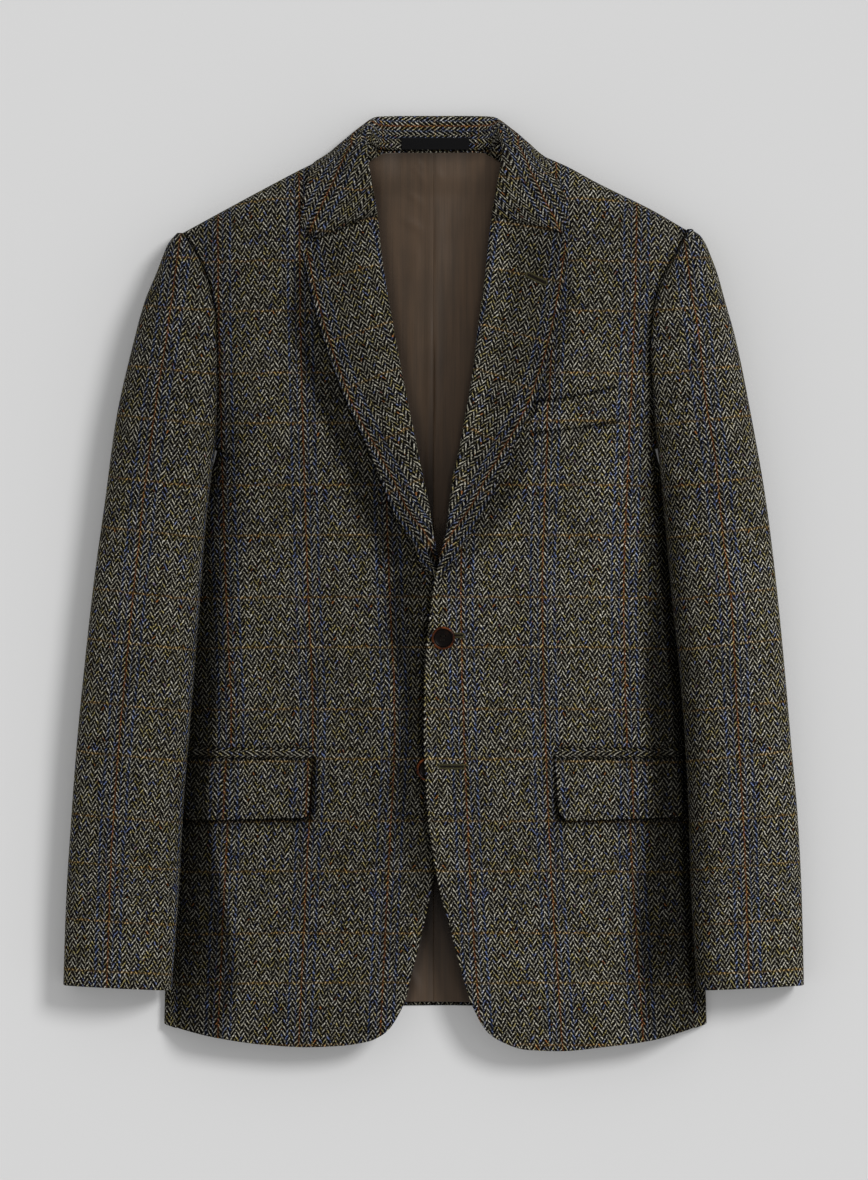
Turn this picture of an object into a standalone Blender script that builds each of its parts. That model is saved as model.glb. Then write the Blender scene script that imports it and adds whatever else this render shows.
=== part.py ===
"""A tweed jacket laid flat on its back, built from its cut pieces as walls of cloth.

Tables are in millimetres. Z is up and the floor is z = 0. "Out" is the distance from the
centre line towards a side, so one table serves both sides: its columns are the wearer's
right, which lies at -X, and the wearer's left, which lies at +X and laps over the right.
"""

import math

import bmesh
import bpy

MM = 0.001

# Cloth
TWEED = 2.0
LINING = 1.0
SEAM = 0.3
LAYER = TWEED + SEAM

# Length of the body, and the heights that cloth layers lie at
NECK_Y = 381.0
SHOULDER_END_Y = {-1: 308.0, 1: 311.5}
UNDERARM_Y = 117.5
CUFF_Y = -357.5
SIDE_HEM_Y = -391.0
BACK_HEM_Y = -381.5
CENTRE_HEM_Y = -371.3
BACK_Z = TWEED / 2
SHOULDER_EDGE_Z = 18.0
SHOULDER_ROUND = 30.0
SIDE_ROUND = 42.0
SIDE_BEND = 4.0

# Share of the back's length that its hem runs below the lining
LINING_HEM = 0.006

# Roll of the lapels, and how far the front stops short of it
ROLL_RADIUS = 3.0
ROLL_SEAM = 6.0

# Overlap of the fronts: the right front dips under the left one
DIP = 7.2
DIP_START = -46.0
DIP_END = -18.0

# Pockets
FLAP_TOP = -153.5
FLAP_DEPTH = 53.0
FLAP_IN = 107.0
FLAP_OUT = 217.0
FLAP_LIFT = 2.9
FLAP_PROUD = 2.0
JET_DEPTH = 8.0

# Buttons
BUTTON_GAP = 0.4
BUTTON_RADIUS = 10.2
BUTTON_THICK = 3.4
BUTTON_RIM = 2.6
UPPER_BUTTON = (8.5, -48.0)
LOWER_BUTTON = (-4.8, -163.5)

# Height y, then how far out the closing edge lies: right front, left front
CLOSING_EDGE = (
    (-404, 56.0, 58.5),
    (-394, 40.0, 46.0),
    (-381, 31.0, 38.0),
    (-366, 24.0, 31.5),
    (-345, 19.0, 25.0),
    (-305, 9.0, 14.5),
    (-262, -0.5, 3.0),
    (-235, -8.5, -1.5),
    (-200, -13.0, -6.0),
    (-130, -15.5, -9.0),
    (-90, -16.3, -8.8),
    (-38, -12.5, -5.0),
    (0, -8.3, -0.2),
    (27, -3.3, 6.0),
)

# Height y, then the visible edge of the roll: right, left
ROLL_LINE = (
    (27, -3.5, 6.5),
    (50, 1.0, 11.5),
    (66, 3.2, 13.3),
    (91, 8.4, 16.3),
    (117, 13.7, 22.3),
    (145, 19.5, 27.3),
    (190, 28.6, 34.8),
    (234, 36.5, 40.0),
    (265, 42.0, 44.5),
    (296, 46.2, 47.7),
    (325, 49.3, 51.3),
    (353, 55.0, 57.0),
    (386, 63.0, 65.0),
)

# Height y, then the outer edge of the lapel: right, left
LAPEL_EDGE = (
    (20, 12.5, 19.0),
    (36, 18.5, 27.5),
    (57, 33.0, 41.0),
    (91, 47.0, 57.6),
    (119, 58.5, 70.0),
    (161, 77.7, 89.0),
    (202, 92.8, 103.0),
    (254, 107.8, 114.4),
    (291, 115.7, 120.0),
)

# The seam between lapel and collar: share of its width, then height y on the right and left
GORGE = (
    (0.0, 323.0, 322.0),
    (0.35, 314.0, 317.0),
    (0.8, 301.5, 309.5),
    (1.0, 291.0, 290.0),
)

# Height y, then how far out the armhole and, below the underarm, the sleeve's inner fold lie
SLEEVE_INNER = (
    (-359, 230.5, 232.0),
    (-278, 224.8, 227.0),
    (-190, 219.6, 224.0),
    (-102, 212.5, 218.7),
    (-14, 205.5, 209.9),
    (44, 201.1, 204.6),
    (100, 194.9, 199.5),
    (117.5, 192.3, 197.4),
    (143, 190.5, 194.5),
    (176, 190.0, 192.3),
    (205, 190.5, 190.8),
    (234, 191.4, 192.8),
    (250, 194.6, 195.5),
    (264, 197.6, 200.0),
    (278, 202.8, 206.5),
    (289, 208.1, 213.0),
    (299, 214.3, 218.5),
    (308, 220.2, 222.0),
    (312, 225.0, 223.5),
    (322, 245.0, 245.0),
    (395, 420.0, 420.0),
)

# Height y, then the outer edge of the sleeve
SLEEVE_OUTER = (
    (-355, 326.0, 326.2),
    (-278, 323.4, 324.3),
    (-208, 319.0, 320.8),
    (-138, 313.7, 314.6),
    (-67, 306.7, 308.4),
    (3, 298.8, 301.4),
    (73, 289.1, 292.6),
    (144, 279.4, 280.3),
    (214, 263.6, 266.2),
    (249, 253.9, 256.5),
    (274, 243.6, 249.5),
    (288, 238.4, 244.2),
    (299, 233.6, 239.6),
    (306, 228.0, 235.0),
    (310, 224.0, 229.0),
)

# Height y, then the side fold of the body
SIDE_FOLD = (
    (-391, 237.5, 241.0),
    (-330, 236.0, 239.0),
    (-250, 233.5, 237.0),
    (-150, 230.5, 235.0),
    (-40, 227.0, 232.0),
    (20, 220.0, 225.0),
    (60, 211.5, 216.5),
    (90, 200.0, 205.0),
    (105, 194.0, 199.0),
    (117.5, 190.5, 195.5),
)

# Height y, then the seam between front and side panel, on the upper layer
FRONT_SEAM = (
    (-391, 225.0, 229.0),
    (-250, 221.5, 225.0),
    (-150, 218.5, 223.0),
    (-40, 215.0, 220.0),
    (20, 208.5, 213.5),
    (60, 200.5, 205.5),
    (90, 190.5, 195.5),
    (105, 186.0, 191.0),
    (117.5, 184.0, 189.0),
)

# Height y, then the seam between back and side panel, on the lower layer
BACK_SEAM = (
    (-382, 181.0, 184.0),
    (-250, 174.0, 177.0),
    (-100, 168.0, 171.0),
    (0, 167.0, 170.0),
    (60, 170.0, 174.0),
    (100, 177.0, 182.0),
    (117.5, 181.5, 186.5),
)

# How far out, then the height y of the front's hem
FRONT_HEM = (
    (40, -396.0, -388.0),
    (56, -404.0, -402.5),
    (82, -408.0, -411.3),
    (110, -409.0, -412.3),
    (150, -406.5, -408.5),
    (190, -400.5, -403.0),
    (220, -393.5, -395.0),
    (237, -388.5, -389.5),
)

# The shoulder line: how far out, then its height y
SHOULDER_LINE = (
    (64, 389.5, 389.5),
    (116, 365.0, 368.0),
    (142, 351.4, 354.0),
    (194, 323.3, 328.0),
    (220.4, 308.8, 312.6),
    (260, 287.0, 290.0),
)

# Height y, then the height of: the chest's upper layer, the armhole seam and inner fold
# where the front runs to, the sleeve's inner side, its top and its outer fold
HEIGHTS = (
    (-412, 34, 7.5, 17, 48, 24),
    (-359, 36, 7.5, 18, 49, 24),
    (-300, 38, 7.5, 20, 51, 25),
    (-200, 41, 7.5, 21, 55, 26),
    (-100, 43, 7.5, 22, 58, 27),
    (0, 46, 7.5, 22, 59, 27),
    (60, 49, 7.5, 22, 60, 28),
    (90, 51, 8.5, 22, 61, 28),
    (105, 51, 11, 22, 61, 28),
    (117.5, 52, 20, 20, 61, 28),
    (150, 52, 31, 31, 61, 28),
    (176, 52, 39, 39, 62, 28),
    (205, 52, 43, 43, 62, 28),
    (250, 51, 41, 41, 58, 26),
    (265, 50, 39, 39, 55, 25),
    (285, 48, 34, 34, 48, 22),
    (300, 46, 27, 27, 38, 20),
    (308.4, 45, 22, 22, 28, 18),
    (340, 44, 20, 20, 22, 16),
    (400, 40, 20, 20, 22, 16),
)

# How far each section of the sleeve rises towards its outer edge
SLEEVE_SLANT = ((-358, 4.5), (-200, 8), (0, 10), (117, 9), (200, 7), (250, 3), (300, 0), (312, 0))

# Where the top sleeve's two seams lie on the section's path: see sleeve_point
ELBOW_SEAM = ((140, 1.30), (160, 1.36), (190, 1.62), (215, 1.93), (222, 2.0))
INSEAM = ((40, -0.29), (70, -0.27), (100, -0.16), (117.5, 0.0), (130, 0.0))

# The collar from the centre back round to the gorge, out from its own centre line. Each
# station has the neck seam, the crest of the roll, the middle of the fall and the fall's edge
# as (out, y, z), and the angle that the fall's outside faces: -90 is down, 90 is up.
COLLAR_CENTRE = 1.1
COLLAR_ROLL = 4.6
COLLAR_STATIONS = (
    ((0, 382.2, 5.2), (0, 411.3, 7.6), (0, 388, 1.0), (0, 366, 1.0), -90),
    ((27, 382.2, 5.2), (27, 411.3, 7.8), (29, 388, 1.0), (31, 366, 1.0), -90),
    ((46, 383.0, 7.5), (50, 410.6, 10.0), (56, 390, 1.4), (60, 369, 1.0), -80),
    ((56, 387.0, 14), (60, 404.0, 18), (73, 391, 8.5), (85, 375, 2.6), -45),
    ((64, 389.0, 25), (61.5, 394.0, 30), (84, 386.0, 24), (102, 377.5, 12), 20),
    ((65.5, 374.0, 38), (60.5, 380.0, 42), (86, 373.5, 42), (110, 368.5, 34), 65),
    ((61.5, 354.0, 42), (57.5, 361.0, 49), (85, 354, 51.5), (111.5, 352, 48), 88),
    ((58, 337.0, 45), (54, 342.0, 53), (84, 333, 53.5), (115, 334, 51.5), 90),
    ((55, 325.5, 47), (50.3, 325.0, 55), (84, 312.5, 55), (118.5, 315, 53), 90),
)
GORGE_DROP = 8.0

COLOURS = {
    "tweed": (0.055, 0.051, 0.040, 1),
    "lining": (0.055, 0.036, 0.025, 1),
    "horn": (0.060, 0.022, 0.008, 1),
    "label": (0.008, 0.008, 0.008, 1),
}


class Curve:
    """A smooth curve through the rows of a table that doesn't overshoot between them."""

    def __init__(self, rows, column=1):
        self.x = [row[0] for row in rows]
        self.y = [row[column] for row in rows]
        steps = [
            (self.y[i + 1] - self.y[i]) / (self.x[i + 1] - self.x[i])
            for i in range(len(rows) - 1)
        ]
        self.slope = [steps[0]]
        for before, after in zip(steps, steps[1:]):
            same = before * after > 0
            self.slope.append(2 * before * after / (before + after) if same else 0.0)
        self.slope.append(steps[-1])

    def __call__(self, at):
        if at <= self.x[0]:
            return self.y[0] + self.slope[0] * (at - self.x[0])
        if at >= self.x[-1]:
            return self.y[-1] + self.slope[-1] * (at - self.x[-1])
        i = max(k for k in range(len(self.x) - 1) if self.x[k] <= at)
        width = self.x[i + 1] - self.x[i]
        t = (at - self.x[i]) / width
        rise = self.y[i + 1] - self.y[i]
        start = self.slope[i] * width
        end = self.slope[i + 1] * width
        square = 3 * rise - 2 * start - end
        cube = start + end - 2 * rise
        return self.y[i] + t * (start + t * (square + t * cube))


def two_sided(rows):
    """The curves of a table's two columns, by side: -1 is the wearer's right, +1 the left."""
    return {-1: Curve(rows, 1), 1: Curve(rows, 2)}


CLOSING = two_sided(CLOSING_EDGE)
ROLL = two_sided(ROLL_LINE)
LAPEL = two_sided(LAPEL_EDGE)
GORGE_LINE = two_sided(GORGE)
INNER = two_sided(SLEEVE_INNER)
OUTER = two_sided(SLEEVE_OUTER)
FOLD = two_sided(SIDE_FOLD)
FRONT_SIDE = two_sided(FRONT_SEAM)
BACK_SIDE = two_sided(BACK_SEAM)
HEM = two_sided(FRONT_HEM)
SHOULDER = two_sided(SHOULDER_LINE)
CHEST = Curve(HEIGHTS, 1)
BASE = Curve(HEIGHTS, 2)
SLEEVE_START = Curve(HEIGHTS, 3)
SLEEVE_TOP = Curve(HEIGHTS, 4)
SLEEVE_FOLD = Curve(HEIGHTS, 5)
SLANT = Curve(SLEEVE_SLANT)
ELBOW = Curve(ELBOW_SEAM)
INNER_SEAM = Curve(INSEAM)


def mix(a, b, share):
    return a + (b - a) * share


def ease(share):
    """0 to 1 with a level start and end."""
    share = min(max(share, 0.0), 1.0)
    return share * share * (3 - 2 * share)


def rounded(share):
    """0 to 1 along a quarter of an ellipse: steep at its edge and level at its top."""
    share = min(max(share, 0.0), 1.0)
    return math.sqrt(max(1 - (1 - share) ** 2, 0.0))


def spread(count, start=0.0, end=1.0):
    return [mix(start, end, i / (count - 1)) for i in range(count)]


# Heights of the body's two layers


def from_shoulder(side, out, y):
    """How far a point lies below the shoulder line, square to it."""
    return (SHOULDER[side](out) - y) * 0.88


def front_z(side, out, y):
    """Height of the front's middle: level on the chest, rounded down to armhole and shoulder."""
    inward = INNER[side](y) - out
    base = BASE(y)
    top = mix(SHOULDER_EDGE_Z + 0.8, CHEST(y), rounded(from_shoulder(side, out, y) / SHOULDER_ROUND))
    bent = (inward + math.hypot(inward, SIDE_BEND)) / 2
    z = mix(min(base, top), top, math.sin(math.pi / 2 * min(bent / SIDE_ROUND, 1.0)))
    if side < 0:
        z -= DIP * ease((-out - DIP_START) / (DIP_END - DIP_START)) * ease((45 - y) / 35)
    return z


def back_z(side, out, y):
    """Height of the back's middle: flat on the floor, lifted by the collar and at the shoulder."""
    over_collar = 2.7 * ease((y - 340) / 20) * ease((112 - out) / 30)
    edge = 1 - rounded(from_shoulder(side, out, y) / 20)
    return BACK_Z + mix(over_collar, SHOULDER_EDGE_Z - 2 * BACK_Z, edge)


def laid_on(height, side, out, y, lift):
    """A point that lies on one of the two layers, moved out square to it."""
    step = 0.5
    slope_out = (height(side, out + step, y) - height(side, out - step, y)) / (2 * step)
    slope_y = (height(side, out, y + step) - height(side, out, y - step)) / (2 * step)
    up = lift / math.sqrt(1 + slope_out**2 + slope_y**2)
    return side * (out - slope_out * up), y - slope_y * up, height(side, out, y) + up


# Body pieces


def coons(inner, outer, lower, upper):
    """A flat patch between four edges: inner and outer run up (v), lower and upper run out (u)."""

    def point(u, v):
        result = []
        for axis in (0, 1):
            along = mix(inner(v)[axis], outer(v)[axis], u)
            across = mix(lower(u)[axis], upper(u)[axis], v)
            low = mix(lower(0)[axis], lower(1)[axis], u)
            high = mix(upper(0)[axis], upper(1)[axis], u)
            result.append(along + across - mix(low, high, v))
        return result

    return point


def front_inner_edge(side, y):
    """The closing edge, then the line just short of the roll."""
    short = mix(1.0, ROLL_SEAM + 1.5, ease((y - 20) / 14))
    return CLOSING[side](y) + 1 if y < 20 else ROLL[side](y) + short


def front(side):
    low_y, neck_y = -400.0, 387.0

    def inner(v):
        y = mix(low_y, neck_y, v)
        return front_inner_edge(side, y), y

    def outer(v):
        y = mix(SIDE_HEM_Y, SHOULDER_END_Y[side], v)
        return (FRONT_SIDE[side](y) if y < UNDERARM_Y + 0.1 else INNER[side](y) - 0.9), y

    def lower(u):
        out = mix(inner(0)[0], outer(0)[0], u)
        return out, HEM[side](out)

    def upper(u):
        out = mix(inner(1)[0], outer(1)[0], u)
        return out, SHOULDER[side](out) - 1

    flat = coons(inner, outer, lower, upper)

    def surface(u, v):
        out, y = flat(u, v)
        return side * out, y, front_z(side, out, y)

    return surface


def back(side):
    def outer(v):
        y = mix(BACK_HEM_Y, SHOULDER_END_Y[side], v)
        return (BACK_SIDE[side](y) - SEAM if y < UNDERARM_Y + 0.1 else INNER[side](y) + 0.2), y

    def inner(v):
        return SEAM / 2, mix(CENTRE_HEM_Y, NECK_Y, v)

    def lower(u):
        return mix(inner(0)[0], outer(0)[0], u), mix(CENTRE_HEM_Y, BACK_HEM_Y, u * u)

    def upper(u):
        out = mix(inner(1)[0], outer(1)[0], u)
        neck = mix(NECK_Y, SHOULDER[side](out) - 1, ease((out - 46) / 20))
        return out, neck

    flat = coons(inner, outer, lower, upper)

    def surface(u, v):
        out, y = flat(u, v)
        return side * out, y, back_z(side, out, y)

    return surface


def side_panel(side):
    """From the front's seam over the side fold to the back's seam; u runs round the section."""
    turn_start, turn_end = 0.25, 0.6

    def surface(u, v):
        y = mix(mix(SIDE_HEM_Y, BACK_HEM_Y, ease(u)), UNDERARM_Y - SEAM, v)
        fold = FOLD[side](y) - 1
        start = FRONT_SIDE[side](y) + SEAM + 0.3
        end = BACK_SIDE[side](y)
        radius = min(5.0, (fold - start) * 0.8)
        centre = fold - radius
        top = front_z(side, centre, y)
        if u < turn_start:
            out = mix(start, centre, u / turn_start)
            return side * out, y, front_z(side, out, y)
        if u < turn_end:
            angle = math.pi * (u - turn_start) / (turn_end - turn_start)
            middle, half = (top + BACK_Z) / 2, (top - BACK_Z) / 2
            return side * (centre + radius * math.sin(angle)), y, middle + half * math.cos(angle)
        out = mix(centre, end, (u - turn_end) / (1 - turn_end))
        return side * out, y, BACK_Z

    return surface


def lining(side):
    """The satin inside of the back, over its points. Its hem stops short of the tweed's."""
    tweed = back(side)

    def surface(u, v):
        x, y, _ = tweed(u, mix(LINING_HEM, mix(0.998, 0.96, ease((u - 0.2) / 0.15)), v))
        over_neck_edge = 3.6 * ease((y - 340) / 20) * ease((side * x - 36) / 10)
        return laid_on(back_z, side, side * x, y, TWEED / 2 + LINING / 2 + SEAM + 0.3 + over_neck_edge)

    return surface


# Lapels and collar


def lapel(side):
    """u from -1 to 0 turns over the roll, u from 0 to 1 lies on the front; v runs up."""
    low_roll, low_edge = 37.0, 24.0
    high_roll, high_edge = GORGE_LINE[side](0), GORGE_LINE[side](1)

    def inner(v):
        y = mix(low_roll, high_roll, v)
        return ROLL[side](y) + 1 + ROLL_RADIUS, y

    def outer(v):
        y = mix(low_edge, high_edge, v)
        return LAPEL[side](y) - 1, y

    def lower(u):
        return mix(inner(0)[0], outer(0)[0], u), mix(low_roll, low_edge, u)

    def upper(u):
        return mix(inner(1)[0], outer(1)[0], u), GORGE_LINE[side](u)

    flat = coons(inner, outer, lower, upper)

    def surface(u, v):
        if u < -0.8:
            out, y = inner(v)
            out = mix(out + ROLL_SEAM - ROLL_RADIUS - 0.2, out, (u + 1) / 0.2)
            return side * out, y, front_z(side, out, y)
        if u < 0:
            out, y = inner(v)
            angle = math.pi * (u + 0.8) / 0.8
            base = front_z(side, out, y)
            out -= ROLL_RADIUS * math.sin(angle)
            return side * out, y, base + ROLL_RADIUS * (1 - math.cos(angle))
        out, y = flat(u, v)
        proud = 5 * ease((0.35 - v) / 0.35) * math.sin(math.pi * u)
        return laid_on(front_z, side, out, y, mix(2 * ROLL_RADIUS, 3.0, ease(u / 0.7)) + proud)

    return surface


def collar_point(station, share):
    """A point of the collar. Station 0 is the centre back, and a negative one is the wearer's
    right. Share 0 is the neck seam, 0.4 the crest of the roll and 1 the edge of the fall."""
    side = -1 if station < 0 else 1
    place = min(abs(station), len(COLLAR_STATIONS) - 1)

    def at(point, axis):
        return Curve([(i, row[point][axis]) for i, row in enumerate(COLLAR_STATIONS)])(place)

    facing = math.radians(Curve([(i, row[4]) for i, row in enumerate(COLLAR_STATIONS)])(place))
    seam, crest, middle, edge = ([at(point, axis) for axis in range(3)] for point in range(4))
    outward = (math.cos(facing), 0.0, math.sin(facing))
    stand = [mix(s, c, 0.72) - COLLAR_ROLL * o for s, c, o in zip(seam, crest, outward)]
    turn = [mix(c, m, 0.28) + COLLAR_ROLL * o for c, m, o in zip(crest, middle, outward)]
    turn[2] = max(turn[2], 1.0)
    drop = GORGE_DROP * ease(place - len(COLLAR_STATIONS) + 2)
    lower = [mix(m, e, 0.55) for m, e in zip(middle, edge)]
    lower[1] -= drop
    keys = ((0, seam), (0.22, stand), (0.4, crest), (0.52, turn), (0.72, middle), (0.88, lower), (1, edge))
    out, y, z = (Curve([(t, point[axis]) for t, point in keys])(share) for axis in range(3))
    return COLLAR_CENTRE + side * out, y, z


def collar(u, v):
    return collar_point(mix(1 - len(COLLAR_STATIONS), len(COLLAR_STATIONS) - 1, u), v)


def label(u, v):
    x, y, z = collar_point(mix(-1.09, 1.14, u), mix(0.02, 0.115, v))
    return x, y, z + TWEED / 2 + 0.9


# Sleeves


def sleeve_point(side, place, y):
    """A point on the sleeve's section that starts at height y on the armhole or inner fold.
    Place 0 to 1 runs over the top from the inner side to the outer fold, and 1 to 2 runs
    back along the floor. A negative place wraps round to the underside of the inner fold."""
    start = (INNER[side](y) + 1.0, y)
    rise = SLANT(y)
    end = (OUTER[side](min(y + rise, 310)) - 1.0, y + rise)
    width = end[0] - start[0]
    nose = min(12.0, width / 3)
    begin, top, fold = SLEEVE_START(y), SLEEVE_TOP(y), SLEEVE_FOLD(y)
    body = FOLD[side](y) + 2 - start[0] if y < UNDERARM_Y else 0.0
    beside_flap = ease((-130 - y) / 8) * ease((y + 225) / 8)
    over_body = min(mix(BASE(y) + 5.2, 16.4, beside_flap), begin - 3)
    closed = ease((150 - y) / 32)

    def underside(across):
        if y < UNDERARM_Y:
            lifted = 1 - ease((across - body) / 22)
        else:
            lifted = closed * (1 - ease(across / 22))
        return BACK_Z + (over_body - BACK_Z) * lifted

    if place < 0:
        place += 2
    if place <= 1:
        angle = math.pi * place
        across = width * (1 - math.cos(angle)) / 2
        line = mix(begin, fold, across / width)
        z = line + (top - line) * max(math.sin(angle), 0.0) ** 0.85
    elif place <= 1.25:
        angle = math.pi / 2 * (place - 1) / 0.25
        across = width - nose * (1 - math.cos(angle))
        z = mix(fold, underside(across), math.sin(angle))
    elif place <= 1.75:
        across = mix(width - nose, nose, (place - 1.25) / 0.5)
        z = underside(across)
    else:
        angle = math.pi / 2 * (place - 1.75) / 0.25
        across = nose * (1 - math.sin(angle))
        z = mix(underside(across), mix(underside(across), begin, closed), 1 - math.cos(angle))
    share = across / width
    return side * mix(start[0], end[0], share), mix(start[1], end[1], share), z


def top_sleeve(side):
    """u runs round the section and y, the second value, down the armhole and the inner fold."""

    def surface(u, y):
        elbow = min(ELBOW(max(y, 140)), 1.995)
        inseam = INNER_SEAM(min(max(y, 40), 130))
        return sleeve_point(side, mix(inseam, elbow, u), y)

    return surface


def under_sleeve(side):
    def surface(u, y):
        elbow = min(ELBOW(max(y, 140)) + 0.004, 1.99)
        inseam = 2 + INNER_SEAM(min(max(y, 40), 130)) - mix(0.02, 0.07, ease((y - 95) / 15))
        return sleeve_point(side, mix(elbow, inseam, u), y)

    return surface


# Pockets, which lie on the front


def on_front(side, flat, lift):
    """Points of a flat outline laid on the front and moved out by lift(u, v)."""

    def surface(u, v):
        return laid_on(front_z, side, *flat(u, v), lift(u, v))

    return surface


def flap(side):
    corner = 9.0 if side > 0 else 4.0
    bottom = FLAP_TOP - FLAP_DEPTH

    def flat(u, v):
        out = mix(FLAP_IN + 3 * v, FLAP_OUT, u)
        rounding = corner * max(1 - (out - FLAP_IN - 3) / corner, 0.0) ** 2
        return out, mix(FLAP_TOP, bottom - 3 * side * (0.5 - u) + rounding, v)

    def lift(u, v):
        return FLAP_LIFT + FLAP_PROUD * math.sin(math.pi * v / 2) * (1 - u) ** 2

    return on_front(side, flat, lift)


def jet(side):
    def flat(u, v):
        return mix(FLAP_IN, FLAP_OUT, u), FLAP_TOP + SEAM + JET_DEPTH * v

    return on_front(side, flat, lambda u, v: LAYER + 0.5)


def welt():
    left_low, left_high = (84.0, 133.8), (93.0, 158.8)
    right_low, right_high = (160.5, 143.6), (159.5, 171.6)

    def flat(u, v):
        low = [mix(a, b, u) for a, b in zip(left_low, right_low)]
        high = [mix(a, b, u) for a, b in zip(left_high, right_high)]
        return mix(low[0], high[0], v), mix(low[1], high[1], v) - 1.5 * math.sin(math.pi * u)

    return on_front(1, flat, lambda u, v: LAYER + 0.2)


# Building


def clear_scene():
    for old in list(bpy.data.objects):
        bpy.data.objects.remove(old)


def make_material(name, roughness):
    material = bpy.data.materials.new(name)
    material.use_nodes = True
    shader = material.node_tree.nodes["Principled BSDF"]
    shader.inputs["Base Color"].default_value = COLOURS[name]
    shader.inputs["Roughness"].default_value = roughness
    shader.inputs["Metallic"].default_value = 0.0
    return material


def add_object(name, mesh, material, collection):
    mesh.materials.append(material)
    mesh.shade_smooth()
    made = bpy.data.objects.new(name, mesh)
    collection.objects.link(made)
    return made


def cloth(name, surface, columns, rows, thickness, material, collection):
    """An open sheet over the grid of a surface, made a wall by a Solidify modifier."""
    bm = bmesh.new()
    grid = [[bm.verts.new([c * MM for c in surface(u, v)]) for v in rows] for u in columns]
    for near, far in zip(grid, grid[1:]):
        for i in range(len(near) - 1):
            bm.faces.new((near[i], far[i], far[i + 1], near[i + 1]))
    bmesh.ops.recalc_face_normals(bm, faces=bm.faces)
    mesh = bpy.data.meshes.new(name)
    bm.to_mesh(mesh)
    bm.free()
    made = add_object(name, mesh, material, collection)
    wall = made.modifiers.new("Wall", "SOLIDIFY")
    wall.thickness = thickness * MM
    wall.offset = 0
    return made


def button(name, centre, bottom, material, collection):
    """A turned disc with a raised rim round a dished middle."""
    dish = BUTTON_RADIUS - BUTTON_RIM
    profile = (
        (0.0, BUTTON_THICK - 1.3),
        (dish * 0.6, BUTTON_THICK - 1.2),
        (dish, BUTTON_THICK - 0.5),
        (BUTTON_RADIUS - 1.4, BUTTON_THICK),
        (BUTTON_RADIUS - 0.3, BUTTON_THICK - 0.6),
        (BUTTON_RADIUS, BUTTON_THICK - 1.5),
        (BUTTON_RADIUS - 1.6, 0.5),
        (BUTTON_RADIUS - 3.2, 0.0),
        (0.0, 0.0),
    )
    mesh = bpy.data.meshes.new(name)
    edges = [(i, i + 1) for i in range(len(profile) - 1)]
    mesh.from_pydata([(radius * MM, 0, z * MM) for radius, z in profile], edges, [])
    made = add_object(name, mesh, material, collection)
    made.location = (centre[0] * MM, centre[1] * MM, bottom * MM)
    turned = made.modifiers.new("Turned", "SCREW")
    turned.steps = 28
    turned.render_steps = 28
    turned.use_merge_vertices = True
    turned.merge_threshold = 0.00005


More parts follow.
